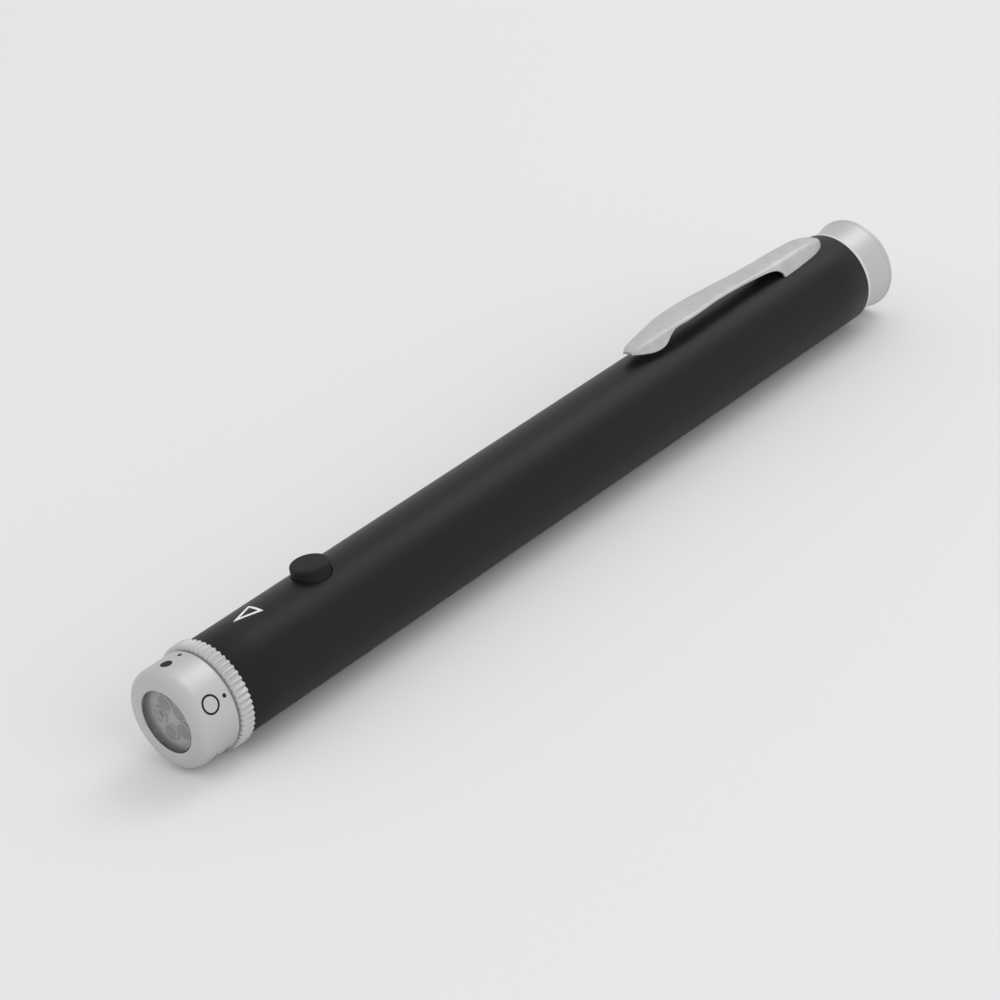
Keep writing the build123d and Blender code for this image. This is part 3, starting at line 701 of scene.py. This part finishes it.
@dataclass(frozen=True)
class SelectorHead:
    """Turning head: nose shell, grip ring, window, wheel and the printed index marks."""

    pen: PenFrame
    nose_radius: float = 6.98 * MM
    front_round: float = 1.55 * MM
    opening_radius: float = 4.40 * MM
    opening_break: float = 0.24 * MM
    window_gap: float = 0.05 * MM
    window_back_gap: float = 0.04 * MM
    window_edge: float = 0.02 * MM
    window_flange: float = 0.80 * MM
    shade_ring_width: float = 0.11 * MM
    shade_ring_gap: float = 0.005 * MM
    snap_ring_gap: float = 0.06 * MM
    bearing_step: float = 0.36 * MM
    wheel_step: float = 0.30 * MM
    wheel_rim: float = 0.5 * MM
    wheel_dish: float = 0.7 * MM
    wheel_edge: float = 0.05 * MM
    rim_width: float = 0.16 * MM
    rim_inner_edge: float = 0.04 * MM
    film_opening: float = 0.85 * MM
    dot_hole: float = 0.50 * MM
    dot_step: float = 0.18 * MM
    dot_drop: float = 0.08 * MM
    overrun: float = 1.0 * MM
    groove_width: float = 0.30 * MM
    groove_depth: float = 0.35 * MM
    edge: float = 0.07 * MM
    teeth: int = 54
    tooth_depth: float = 0.31 * MM
    tooth_sharp: float = math.radians(60)
    crest_power: float = 1.2
    ring_bevel: float = 0.24 * MM
    bevel_near_share: float = 0.3
    bevel_fall_share: float = 0.45
    ring_seat_gap: float = 0.01 * MM
    samples: int = 12
    dot_radius: float = 0.80 * MM
    circle_radius: float = 1.32 * MM
    circle_stroke: float = 0.285 * MM
    index_radius: float = 0.29 * MM
    mark_setback: float = 2.65 * MM
    index_setback: float = 5.0 * MM
    symbol_half: float = 0.95 * MM
    symbol_stroke: float = 0.26 * MM
    arrow_wide_share: float = 0.6
    arrow_long_share: float = 0.3
    mark_degrees: tuple[tuple[str, float], ...] = (
        ("dot", -4.0), ("circle", 66.0), ("line", 139.0), ("cross", 212.0), ("arrow", 284.0),
    )

    def build(self) -> None:
        """Builds and dresses every piece of the head."""
        for step in (self.shell, self.window, self.wheel, self.ring, self.marks):
            step()

    def shell(self) -> None:
        """Nose shell with its round front edge, window opening, groove and rear skirt."""
        pen = self.pen
        front, rear, groove = pen.head_front, pen.ring_rear, pen.ring_front - self.groove_width
        window_low, window_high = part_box("window")
        snap_low, snap_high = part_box("head_snap_ring")
        flange_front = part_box("pattern_wheel")[0].y - self.window_flange
        chamber = (window_high.x - window_low.x) / 2
        shoulder = snap_high.y + self.snap_ring_gap
        bearing = (snap_high.z - snap_low.z) / 2 - self.bearing_step
        skirt = self.nose_radius - self.groove_depth
        corners = [
            (shoulder, bearing, 0),
            (shoulder, chamber, 0),
            (flange_front, chamber, 0),
            (flange_front, self.opening_radius, 0),
            (front, self.opening_radius, self.opening_break),
            (front, self.nose_radius, self.front_round),
            (groove, self.nose_radius, self.edge),
            (groove, skirt, 0),
            (rear, skirt, 0),
            (rear, bearing, 0),
            (shoulder, bearing, 0),
        ]
        shell = lathe("nose_shell_fine", rounded(corners, ROUNDING_STEPS), pen.centre())
        place_piece(shell, SATIN_SILVER, Body.HEAD, "nose_shell")

    def window(self) -> None:
        """Clear window with a boss that fills the opening, and a dark ring round the boss that paints the
        shade on the opening's wall.
        """
        low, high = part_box("window")
        centre = self.pen.centre()
        flange, boss = (high.x - low.x) / 2, self.opening_radius - self.window_gap
        shoulder, back = high.y - self.window_flange, high.y - self.window_back_gap
        corners = [
            (low.y, 0, 0),
            (low.y, boss, self.window_edge),
            (shoulder, boss, 0),
            (shoulder, flange, 0),
            (back, flange, 0),
            (back, 0, 0),
        ]
        pane = lathe("window_fine", rounded(corners), centre, steps=SMALL_STEPS)
        place_piece(pane, WINDOW_CLEAR, Body.HEAD, "window")
        # Painted shade: a dark ring round the boss darkens the opening's wall, where shade falls.
        start, outer = low.y + self.window_back_gap, self.opening_radius - self.shade_ring_gap
        inner = outer - self.shade_ring_width
        ring = [(start, inner), (start, outer), (shoulder, outer), (shoulder, inner), (start, inner)]
        place_piece(lathe("window_shade_ring", ring, centre, steps=SMALL_STEPS), CRADLE_BLACK, Body.HEAD)

    def wheel(self) -> None:
        """Dished pattern wheel whose openings stand in raised rims: four for films, one plain."""
        low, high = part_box("pattern_wheel")
        centre = self.pen.centre()
        outer, face, back = (high.x - low.x) / 2, low.y + self.wheel_step, high.y + self.overrun
        corners = [
            (high.y, 0, 0),
            (high.y, outer, 0),
            (low.y, outer, 0),
            (low.y, outer - self.wheel_rim, self.wheel_edge),
            (face, outer - self.wheel_dish, self.wheel_edge),
            (face, 0, 0),
        ]
        wheel = lathe("pattern_wheel_fine", rounded(corners), centre, steps=SMALL_STEPS)
        films = [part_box(f"pattern_film_{figure}") for figure in ("circle", "line", "cross", "arrow")]
        inner = (films[0][1].x - films[0][0].x) / 2
        wide, opening, drop = inner + self.rim_width, self.film_opening, self.dot_drop
        ridge = [
            (face, inner, 0),
            (low.y, inner, self.rim_inner_edge),
            (low.y, wide, self.wheel_edge),
            (face, wide, 0),
            (face, inner, 0),
        ]
        seats = [(film_low + film_high) / 2 for film_low, film_high in films]
        seats.append(centre - sum((seat - centre for seat in seats), Vector()))
        bores = [[(back, opening)] for _ in films]
        step = (face + 2 * drop, opening - self.dot_step)
        bores.append([(face + drop, opening), step, (back, self.dot_hole)])
        for index, (seat, bore) in enumerate(zip(seats, bores)):
            middle = Vector((seat.x, 0, seat.z))
            cut_out(wheel, lathe(f"hole_{index}", self.stepped(low.y, bore), middle, steps=HOLE_STEPS))
            rim = lathe(f"pattern_rim_{index}", rounded(ridge), middle, steps=HOLE_STEPS)
            place_piece(rim, WHEEL_GREY, Body.HEAD)
        place_piece(wheel, WHEEL_GREY, Body.HEAD, "pattern_wheel")

    @staticmethod
    def stepped(start: float, steps: Sequence[Point]) -> list[Point]:
        """Profile of a bore whose radius changes in steps.

        Args:
            start: Where the bore starts.
            steps: For each step, where it ends and its radius.

        Returns:
            The profile, closed at both ends.
        """
        points = [(start, 0.0)]
        for end, radius in steps:
            points += [(start, radius), (end, radius)]
            start = end
        return [*points, (start, 0.0)]

    def ring(self) -> None:
        """Serrated grip ring with rounded ridges and bevelled ends."""
        pen, bevel = self.pen, self.ring_bevel
        front, rear = pen.ring_front, pen.ring_rear
        near, fall = bevel * self.bevel_near_share, bevel * self.bevel_fall_share
        loops = [(front, None), (front, bevel), (front + near, fall), (front + bevel, 0.0)]
        loops += [(rear - bevel, 0.0), (rear - near, fall), (rear, bevel), (rear, None)]
        mesh = bmesh.new()
        matrix = Matrix.Translation((0, front, pen.axis_z)) @ Matrix.Rotation(math.pi / 2, 4, "X")
        count = self.teeth * self.samples
        verts = bmesh.ops.create_circle(mesh, segments=count, radius=1.0, matrix=matrix)["verts"]
        edges = first = list(mesh.edges)
        for index, (place, drop) in enumerate(loops):
            if index > 0:
                grown = bmesh.ops.extrude_edge_only(mesh, edges=edges)["geom"]
                verts, edges = picked(grown, Vert), picked(grown, Edge)
            self.shape_loop(verts, place, drop)
        bmesh.ops.bridge_loops(mesh, edges=first + edges)
        ring = finish_mesh(mesh, "grip_ring_fine", self.tooth_sharp)
        place_piece(ring, SATIN_SILVER, Body.HEAD, "grip_ring")

    def ridge(self, angle: float) -> float:
        """Radius of the serration at an angle: round crests with narrow grooves between."""
        phase = math.cos(self.teeth * angle)
        return self.pen.crest_radius - self.tooth_depth * (0.5 - 0.5 * phase) ** self.crest_power

    def shape_loop(self, verts: Sequence[Vert], place: float, drop: float | None) -> None:
        """Moves the vertices of a loop onto the serration, or onto the ring's bore.

        Args:
            verts: Vertices of the loop.
            place: Where the loop lies along the pen.
            drop: How far it lies below the serration, or None for the bore.
        """
        bore = self.nose_radius - self.groove_depth - self.ring_seat_gap
        for vert in verts:
            angle = math.atan2(vert.co.x, vert.co.z - self.pen.axis_z)
            vert.co = self.pen.at(angle, bore if drop is None else self.ridge(angle) - drop, place)

    def marks(self) -> None:
        """Printed figures for the five positions, each with its index dot."""
        pen, half = self.pen, self.symbol_half
        across, along = ((-half, 0), (half, 0)), ((0, -half), (0, half))
        wide, long = half * self.arrow_wide_share, half * self.arrow_long_share
        barbs = [((0, -half), (side * wide, -long)) for side in (-1, 1)]
        runs = {"line": [across], "cross": [across, along], "arrow": [along, *barbs]}
        hole = self.circle_radius - self.circle_stroke
        discs = {"dot": (self.dot_radius,), "circle": (self.circle_radius, hole)}
        place, index_place = pen.head_front + self.mark_setback, pen.head_front + self.index_setback
        for figure, degrees in self.mark_degrees:
            angle = math.radians(degrees)
            mark = PrintedMark(f"mark_{figure}", pen, self.nose_radius, place, angle)
            if figure in discs:
                thing = mark.disc(*discs[figure])
            else:
                thing = mark.strokes(runs[figure], self.symbol_stroke)
            place_piece(thing, PRINT_BLACK, Body.HEAD)
            index = PrintedMark(f"index_{figure}", pen, self.nose_radius, index_place, angle)
            place_piece(index.disc(self.index_radius), PRINT_BLACK, Body.HEAD)


# The barrel


@dataclass(frozen=True)
class Barrel:
    """Matte barrel tube with the button's hole, the clip's slots and the printed pointer."""

    pen: PenFrame
    wall: float = 0.75 * MM
    edge: float = 0.12 * MM
    edge_share: float = 0.3
    hole_radius: float = 2.80 * MM
    hole_steps: int = 64
    near_share: float = 1.2
    cutter_share: float = 1.5
    runs: int = 24
    pointer_tip: float = 5.45 * MM
    pointer_length: float = 4.05 * MM
    pointer_width: float = 2.80 * MM
    pointer_stroke: float = 0.40 * MM
    pointer_angle: float = math.radians(-0.3)
    tab_x: float = 2.2 * MM
    tab_from_seam: float = 2.6 * MM
    tab_thickness: float = 0.36 * MM
    tab_width: float = 2.4 * MM
    tab_reach: float = 0.80 * MM
    tab_sink: float = 0.95 * MM
    slot_gap: float = 0.12 * MM

    def build(self) -> None:
        """Builds and dresses the tube, the clip's tabs and the print."""
        pen, edge, radius = self.pen, self.edge, self.pen.barrel_radius
        front, rear, bore = pen.barrel_front, pen.barrel_rear, radius - self.wall
        close, near = self.hole_radius * self.near_share, edge * self.edge_share
        shares = (*parts(self.runs), 1.0)
        # Even rings, closer by the button, keep the faces round the cut hole well shaped
        places = [front + edge + (rear - front - 2 * edge) * share for share in shares]
        places += [pen.button_y - close + 2 * close * share for share in shares]
        profile = [(front, bore), (front, radius - edge), (front + near, radius - near)]
        profile += [(place, radius) for place in sorted(places)]
        profile += [(rear - near, radius - near), (rear, radius - edge), (rear, bore), (front, bore)]
        tube = lathe("barrel_tube_fine", profile, pen.centre())
        top = radius * self.cutter_share
        drill = [(0, 0), (0, self.hole_radius), (top, self.hole_radius), (top, 0)]
        middle = Vector((0, pen.button_y, pen.axis_z))
        cut_out(tube, lathe("hole_cutter", drill, middle, Z_AXIS, self.hole_steps))
        for side, label in ((-1, "left"), (1, "right")):
            cut_out(tube, self.tab_block("slot_cutter", side, self.slot_gap))
            place_piece(self.tab_block(f"clip_tab_{label}", side, 0.0), CLIP_SATIN, Body.BARREL)
        place_piece(tube, BARREL_BLACK, Body.BARREL, "barrel_tube")
        self.pointer()

    def tab_block(self, name: str, side: int, gap: float) -> Piece:
        """One of the clip's two tabs through the wall, or its slot where there is a gap.

        Args:
            name: Name of the block.
            side: -1 for the left tab, 1 for the right one.
            gap: How much larger the block is on every side.

        Returns:
            The block.
        """
        pen = self.pen
        height = pen.axis_z + pen.barrel_radius - self.tab_sink
        middle = Vector((side * self.tab_x, pen.clip_seam + self.tab_from_seam, height))
        half = Vector((self.tab_thickness / 2 + gap, self.tab_width / 2 + gap, self.tab_reach + gap))
        return bar(name, middle - half, middle + half)

    def pointer(self) -> None:
        """Printed triangle outline whose tip points at the selector's index marks."""
        pen, half, length = self.pen, self.pointer_width / 2, self.pointer_length
        tip = pen.barrel_front + self.pointer_tip
        mark = PrintedMark("pointer_triangle", pen, pen.barrel_radius, tip, self.pointer_angle)
        thing = mark.outline([(0.0, 0.0), (half, length), (-half, length)], self.pointer_stroke)
        place_piece(thing, PRINT_WHITE, Body.BARREL)


# The push button


@dataclass(frozen=True)
class PushButton:
    """Round matte button with a soft top edge."""

    pen: PenFrame
    radius: float = 2.68 * MM
    flange_height: float = 4.9 * MM
    flange_radius: float = 3.5 * MM
    flange_thickness: float = 0.55 * MM
    soft_edge: float = 0.50 * MM
    stem_radius: float = 1.7 * MM

    def build(self) -> None:
        """Builds and dresses the button."""
        low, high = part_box("push_button")
        flange_top = self.pen.axis_z + self.flange_height
        flange_bottom = flange_top - self.flange_thickness
        corners = [
            (low.z, 0, 0),
            (low.z, self.stem_radius, 0),
            (flange_bottom, self.stem_radius, 0),
            (flange_bottom, self.flange_radius, 0),
            (flange_top, self.flange_radius, 0),
            (flange_top, self.radius, 0),
            (high.z, self.radius, self.soft_edge),
            (high.z, 0, 0),
        ]
        profile, middle = rounded(corners, ROUNDING_STEPS), Vector((0, self.pen.button_y, 0))
        button = lathe("push_button_fine", profile, middle, Z_AXIS, SMALL_STEPS)
        place_piece(button, BUTTON_BLACK, Body.BUTTON, "push_button")


# The end cap and its washer


@dataclass(frozen=True)
class EndCap:
    """End cap with a waisted neck, a shallow flare and a plain lip, over an ivory washer."""

    pen: PenFrame
    neck_radius: float = 6.62 * MM
    neck_share: float = 0.45
    flare_power: float = 1.3
    flare_steps: int = 10
    lip_width: float = 0.60 * MM
    lip_step: float = 0.09 * MM
    lip_root_edge: float = 0.02 * MM
    lip_front_edge: float = 0.05 * MM
    lip_rear_edge: float = 0.14 * MM
    washer: float = 0.65 * MM
    washer_radius: float = 6.88 * MM
    washer_bore: float = 5.78 * MM
    washer_seat: float = 5.75 * MM
    plug_radius: float = 6.19 * MM
    thread_depth: float = 0.24 * MM
    thread_pitch: float = 0.75 * MM
    thread_sink: float = 0.02 * MM
    thread_steps: int = 72
    ridge_share: float = 0.44
    crest_shares: Point = (0.8, 1.2)
    bore_radius: float = 4.69 * MM
    floor: float = 1.6 * MM
    edge: float = 0.06 * MM
    steps: int = 6

    def build(self) -> None:
        """Builds and dresses the cap, its thread and the washer."""
        pen, neck = self.pen, self.neck_radius
        low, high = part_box("end_cap")
        start = pen.barrel_rear
        front, floor, relief = start + self.washer, start - self.floor, start - self.thread_pitch
        neck_rear = start + (high.y - start) * self.neck_share
        lip_front, rim = high.y - self.lip_width, pen.rim_radius
        under_lip = rim - self.lip_step
        thread_root = self.plug_radius - self.thread_depth
        length, growth = lip_front - neck_rear, under_lip - neck
        flare = [
            (neck_rear + length * share, neck + growth * share**self.flare_power, 0)
            for share in parts(self.flare_steps)[1:]
        ]
        corners = [
            (floor, 0, 0),
            (floor, self.bore_radius, 0),
            (low.y, self.bore_radius, 0),
            (low.y, thread_root, self.edge),
            (relief, thread_root, 0),
            (relief, self.washer_seat, 0),
            (front, self.washer_seat, 0),
            (front, neck, self.edge),
            (neck_rear, neck, 0),
            *flare,
            (lip_front, under_lip, self.lip_root_edge),
            (lip_front + self.edge, rim, self.lip_front_edge),
            (high.y, rim, self.lip_rear_edge),
            (high.y, 0, 0),
        ]
        cap = lathe("end_cap_fine", rounded(corners, self.steps), pen.centre())
        place_piece(cap, SATIN_SILVER, Body.CAP, "end_cap")
        ridge = self.thread(low.y + self.edge, relief, thread_root - self.thread_sink)
        place_piece(ridge, SATIN_SILVER, Body.CAP)
        washer_low, washer_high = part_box("cap_washer")
        ring = [
            (washer_low.y, self.washer_bore, 0),
            (washer_low.y, self.washer_radius, self.edge),
            (washer_high.y, self.washer_radius, self.edge),
            (washer_high.y, self.washer_bore, 0),
            (washer_low.y, self.washer_bore, 0),
        ]
        washer = lathe("cap_washer_fine", rounded(ring), pen.centre())
        place_piece(washer, WASHER_IVORY, Body.CAP, "cap_washer")

    def thread(self, start: float, end: float, root: float) -> Piece:
        """The ridge of the screw thread on the cap's plug.

        Args:
            start: Where the ridge starts.
            end: Where it ends.
            root: Radius of its foot.

        Returns:
            The ridge.
        """
        pitch, steps, crest = self.thread_pitch, self.thread_steps, self.plug_radius
        turns, half, centre = (end - start) / pitch - 1, pitch * self.ridge_share, self.pen.centre()
        ridge = [(0.0, root), *((share, crest) for share in self.crest_shares), (2.0, root)]
        points = [centre + Vector((0, start + half * share, radius)) for share, radius in ridge]
        mesh = bmesh.new()
        edges = wire_of(mesh, points)
        edges.append(mesh.edges.new((edges[-1].verts[1], edges[0].verts[0])))
        bmesh.ops.spin(
            mesh, geom=list(mesh.verts) + edges, cent=centre, axis=Y_AXIS, dvec=(0, pitch / steps, 0),
            angle=FULL_TURN * turns, steps=round(steps * turns), use_duplicate=False,
        )
        ends = [edge for edge in mesh.edges if len(edge.link_faces) == 1]
        bmesh.ops.holes_fill(mesh, edges=ends, sides=len(points))
        return finish_mesh(mesh, "cap_thread")


# The pocket clip


@dataclass(frozen=True)
class PocketClip:
    """Pocket clip of one formed sheet, with a short step where its saddle ends.

    Attributes:
        station_shares: Share of the length from the tip, height share and half width share.
        lower_edge_shares: Share of the length from the tip and height share of the flange's edge.
    """

    pen: PenFrame
    sheet: float = 0.36 * MM
    rise: float = 2.85 * MM
    half_width: float = 2.52 * MM
    crown: float = 0.15 * MM
    bend: float = 0.80 * MM
    bend_share: float = 0.40
    bend_limit_share: float = 0.9
    flare: float = math.tan(math.radians(17.0))
    least_flange_share: float = 0.3
    seat_gap: float = 0.05 * MM
    seat_rounds: int = 12
    rows: int = 110
    flange_steps: int = 5
    bend_steps: int = 6
    crown_steps: int = 6
    bend_reach: float = 1.2 * MM
    hinge_share: float = 0.6
    notch: float = 0.08 * MM
    edge: float = 0.07 * MM
    edge_segments: int = 2
    edge_angle: float = math.radians(40)
    sharp: float = math.radians(50)
    station_shares: tuple[Triple, ...] = (
        (0.000, 0.630, 0.300),
        (0.018, 0.720, 0.500),
        (0.043, 0.790, 0.600),
        (0.077, 0.850, 0.687),
        (0.115, 0.912, 0.778),
        (0.158, 0.961, 0.860),
        (0.213, 0.993, 0.950),
        (0.267, 0.996, 0.990),
        (0.326, 0.990, 0.960),
        (0.414, 0.961, 0.865),
        (0.505, 0.884, 0.820),
        (0.595, 0.786, 0.800),
        (0.683, 0.723, 0.825),
        (0.774, 0.691, 0.840),
        (0.864, 0.635, 0.785),
        (0.930, 0.547, 0.715),
        (0.971, 0.393, 0.575),
        (0.991, 0.263, 0.377),
        (1.000, 0.175, 0.180),
    )
    lower_edge_shares: tuple[Point, ...] = (
        (0.000, 0.465),
        (0.034, 0.346),
        (0.070, 0.215),
        (0.100, 0.195),
        (0.126, 0.280),
        (0.157, 0.577),
        (0.184, 0.759),
        (0.234, 0.783),
        (0.296, 0.794),
        (0.363, 0.794),
        (0.431, 0.766),
        (0.510, 0.696),
        (0.603, 0.573),
        (0.684, 0.441),
        (0.723, 0.262),
        (0.739, 0.040),
    )

    @staticmethod
    def smooth(rows: Sequence[Sequence[float]], share: float, column: int) -> float:
        """Reads a column of a table at a share, on a smooth curve through its points.

        Args:
            rows: Rows that start with their share.
            share: Where to read.
            column: Which value of the row to read.

        Returns:
            The value there.
        """
        last = len(rows) - 1
        index = next((k for k in range(last) if share <= rows[k + 1][0]), last - 1)
        left, right = rows[index], rows[index + 1]
        before, after = rows[max(index - 1, 0)], rows[min(index + 2, last)]
        span = right[0] - left[0]
        t = (share - left[0]) / span
        slope_left = (right[column] - before[column]) / (right[0] - before[0]) * span
        slope_right = (after[column] - left[column]) / (after[0] - left[0]) * span
        t2, t3 = t * t, t * t * t
        return (
            left[column] * (2 * t3 - 3 * t2 + 1)
            + slope_left * (t3 - 2 * t2 + t)
            + right[column] * (3 * t2 - 2 * t3)
            + slope_right * (t3 - t2)
        )

    def section(self, share: float, seated: bool) -> list[Point]:
        """Outer outline of the clip at a share of its length, from its left foot to its right.

        Args:
            share: Share of the length from the tip.
            seated: Whether the flanges reach down to the barrel.

        Returns:
            Points as (across, height above the pen's axis).
        """
        radius = self.pen.barrel_radius
        top = radius + self.rise * self.smooth(self.station_shares, share, 1)
        width = self.smooth(self.station_shares, share, 2)
        half, shoulder = self.half_width * width, top - self.crown * width
        foot = self.foot_height(half, shoulder)
        if not seated:
            foot = max(radius + self.rise * self.smooth(self.lower_edge_shares, share, 1), foot)
        foot = min(foot, shoulder - self.least_flange_share * self.sheet)
        length = min(half * self.bend_share, self.bend, (shoulder - foot) * self.bend_limit_share)
        corner = Vector((half, shoulder))
        start = corner + Vector((self.flare, -1)).normalized() * length
        end = corner + Vector((-1, self.crown * width / half)).normalized() * length
        spread = half + (shoulder - foot) * self.flare
        run, rise = start.x - spread, start.y - foot
        side = [(spread + run * part, foot + rise * part) for part in parts(self.flange_steps)]
        side += [tuple(corner_curve(start, corner, end, part)) for part in parts(self.bend_steps)]
        for part in parts(self.crown_steps):
            across = end.x * (1 - part)
            side.append((across, end.y + (top - end.y) * (1 - (across / end.x) ** 2)))
        return [(-x, z) for x, z in side] + [(0.0, top)] + [(x, z) for x, z in reversed(side)]

    def foot_height(self, half: float, shoulder: float) -> float:
        """Height at which the sloping flange meets the barrel's surface.

        Args:
            half: Half the width at the shoulder.
            shoulder: Height of the shoulder above the pen's axis.

        Returns:
            The height above the pen's axis, found in a few rounds.
        """
        seat = self.pen.barrel_radius + self.seat_gap
        height = shoulder
        for _ in range(self.seat_rounds):
            across = half + (shoulder - height) * self.flare
            height = math.sqrt(max(seat**2 - across**2, 0.0))
        return height

    def stations(self) -> list[tuple[float, bool]]:
        """Rows along the clip, with a short step where the saddle's flanges start.

        Returns:
            For each row, its share of the length and whether its flanges reach the barrel.
        """
        length = self.pen.clip_rear - self.pen.clip_tip
        seam = (self.pen.clip_seam - self.pen.clip_tip) / length
        start = seam + self.notch / length
        arm_rows = int(self.rows * seam)
        saddle_rows = self.rows - arm_rows
        rows = [(seam * row / arm_rows, False) for row in range(arm_rows + 1)]
        rows += [(start + (1 - start) * row / saddle_rows, True) for row in range(saddle_rows + 1)]
        return rows

    def build(self) -> None:
        """Builds and dresses the clip."""
        pen, mesh = self.pen, bmesh.new()
        edges: list[Edge] = []
        verts: list[Vert] = []
        for share, seated in self.stations():
            place = pen.clip_tip + (pen.clip_rear - pen.clip_tip) * share
            points = [Vector((x, place, pen.axis_z + z)) for x, z in self.section(share, seated)]
            if not edges:
                edges = wire_of(mesh, points)
                verts = [edges[0].verts[0]] + [edge.verts[1] for edge in edges]
                self.close_end(mesh, edges, points[0].z)
                continue
            grown = bmesh.ops.extrude_edge_only(mesh, edges=edges)["geom"]
            edges = picked(grown, Edge)
            order = {vert.co.copy().freeze(): index for index, vert in enumerate(verts)}
            verts = sorted(picked(grown, Vert), key=lambda vert: order[vert.co.copy().freeze()])
            for vert, point in zip(verts, points):
                vert.co = point
        rear = [edge for edge in mesh.edges if edge.verts[0] in verts and edge.verts[1] in verts]
        top = pen.axis_z + pen.barrel_radius
        self.close_end(mesh, rear, top + self.seat_gap)
        clip = finish_mesh(mesh, "pocket_clip", self.sharp)
        wall = clip.modifiers.new("sheet", "SOLIDIFY")
        wall.thickness = self.sheet
        wall.offset = -1.0
        soft = clip.modifiers.new("soft_edges", "BEVEL")
        soft.width = self.edge
        soft.segments = self.edge_segments
        soft.use_clamp_overlap = False
        soft.limit_method = "ANGLE"
        soft.angle_limit = self.edge_angle
        CLIP_SATIN.dress(clip)
        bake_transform(clip)
        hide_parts("clip_arm", "clip_saddle")
        LOG.info("pocket_clip bends between barrel and clip")

    @staticmethod
    def close_end(mesh: Mesh, edges: Sequence[Edge], level: float) -> None:
        """Closes an end of the clip with a wall down to a level.

        Args:
            mesh: The clip's mesh.
            edges: Edges of its end section.
            level: Height that the wall reaches down to.
        """
        for vert in picked(bmesh.ops.extrude_edge_only(mesh, edges=edges)["geom"], Vert):
            vert.co.z = min(vert.co.z, level)


# Floor, lights and camera


@dataclass(frozen=True)
class SoftLamp:
    """Large round lamp that shines at the pen.

    Attributes:
        name: Name of the lamp.
        towards: Direction from the pen to the lamp.
        size: Diameter in metres.
        energy: Power in watts.
        mirrored: Whether it shows in mirroring surfaces.
        distance: Distance from the pen in metres.
    """

    name: str
    towards: Triple
    size: float
    energy: float
    mirrored: bool
    distance: float = 1.80

    def place(self) -> None:
        """Adds the lamp to the scene."""
        data = bpy.data.lights.new(self.name, "AREA")
        data.shape = "DISK"
        data.size = self.size
        data.energy = self.energy
        lamp = new_object(self.name, data)
        towards = Vector(self.towards)
        lamp.location = towards.normalized() * self.distance
        lamp.rotation_mode = "QUATERNION"
        lamp.rotation_quaternion = (-towards).to_track_quat("-Z", "Y")
        lamp.visible_glossy = self.mirrored


@dataclass(frozen=True)
class Studio:
    """Plain pale floor, soft light and the camera at the photograph's angle."""

    pen: PenFrame
    floor_size: float = 6.0
    world_strength: float = 0.80
    seen_level: float = 0.80
    lamps: tuple[SoftLamp, ...] = (
        SoftLamp("key", (0.08, 0.62, 0.78), size=1.00, energy=4.8, mirrored=True),
        SoftLamp("side", (0.95, -0.05, 0.42), size=1.40, energy=8.2, mirrored=False),
    )
    lens: float = 115.53
    sensor: float = 36.0
    azimuth: float = math.radians(40.90)
    elevation: float = math.radians(35.413)
    pen_roll: float = math.radians(13.4)
    distance: float = 443.43 * MM
    look_right: float = -7.021 * MM
    look_up: float = -4.793 * MM
    target_from_front: float = 65.52 * MM
    nearest: float = 0.01
    farthest: float = 50.0

    def build(self) -> None:
        """Builds the floor, the world, the lamps and the camera."""
        self.floor()
        self.world()
        for lamp in self.lamps:
            lamp.place()
        self.camera()

    def floor(self) -> None:
        """Plain floor that keeps the pen's shadow."""
        mesh = bmesh.new()
        bmesh.ops.create_grid(mesh, x_segments=1, y_segments=1, size=self.floor_size / 2)
        floor = finish_mesh(mesh, "floor")
        FLOOR_PALE.dress(floor)

    def world(self) -> None:
        """Even world light, and a pale background for camera, mirror and glass rays."""
        world = bpy.data.worlds.new("studio")
        bpy.context.scene.world = world
        world.use_nodes = True
        tree = world.node_tree
        lit = tree.nodes["Background"]
        feed(tree, lit, {"Color": WHITE, "Strength": self.world_strength})
        seen = add_node(tree, "ShaderNodeBackground", {"Color": WHITE, "Strength": self.seen_level})
        path = add_node(tree, "ShaderNodeLightPath")
        first = {0: path["Is Camera Ray"], 1: path["Is Glossy Ray"]}
        either = add_node(tree, "ShaderNodeMath", first, operation="MAXIMUM")
        both = {0: either[0], 1: path["Is Transmission Ray"]}
        share = add_node(tree, "ShaderNodeMath", both, operation="MAXIMUM")
        mix = add_node(tree, "ShaderNodeMixShader", {0: share[0], 1: lit.outputs[0], 2: seen[0]})
        feed(tree, tree.nodes["World Output"], {"Surface": mix[0]})

    def camera(self) -> None:
        """Camera at the photograph's angle, turned about the pen so that the clip is on top."""
        azimuth, elevation = self.azimuth, self.elevation
        level = Vector((math.sin(azimuth), -math.cos(azimuth), 0)) * math.cos(elevation)
        back = level + Z_AXIS * math.sin(elevation)
        right = Vector((math.cos(azimuth), math.sin(azimuth), 0))
        up = back.cross(right)
        place = back * self.distance + right * self.look_right + up * self.look_up
        basis = Matrix((right, up, back)).transposed().to_4x4()
        turn = Matrix.Rotation(self.pen_roll, 4, "Y")
        shift = Matrix.Translation((0, self.pen.barrel_front + self.target_from_front, self.pen.axis_z))
        data = bpy.data.cameras.new("camera")
        data.lens = self.lens
        data.sensor_width = self.sensor
        data.clip_start = self.nearest
        data.clip_end = self.farthest
        camera = new_object("camera", data)
        camera.matrix_world = shift @ turn @ Matrix.Translation(place) @ basis
        bpy.context.scene.camera = camera


def main() -> None:
    """Builds the whole scene in order."""
    logging.basicConfig(level=logging.INFO, format="%(name)s: %(message)s")
    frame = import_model()
    bpy.context.scene.view_settings.view_transform = "Standard"
    pen = PenFrame.from_nodes()
    dress_nodes(frame)
    for assembly in (Barrel, SelectorHead, PushButton, EndCap, PocketClip, Studio):
        assembly(pen).build()
    LOG.info("sizes written")


if __name__ == "__main__":
    main()
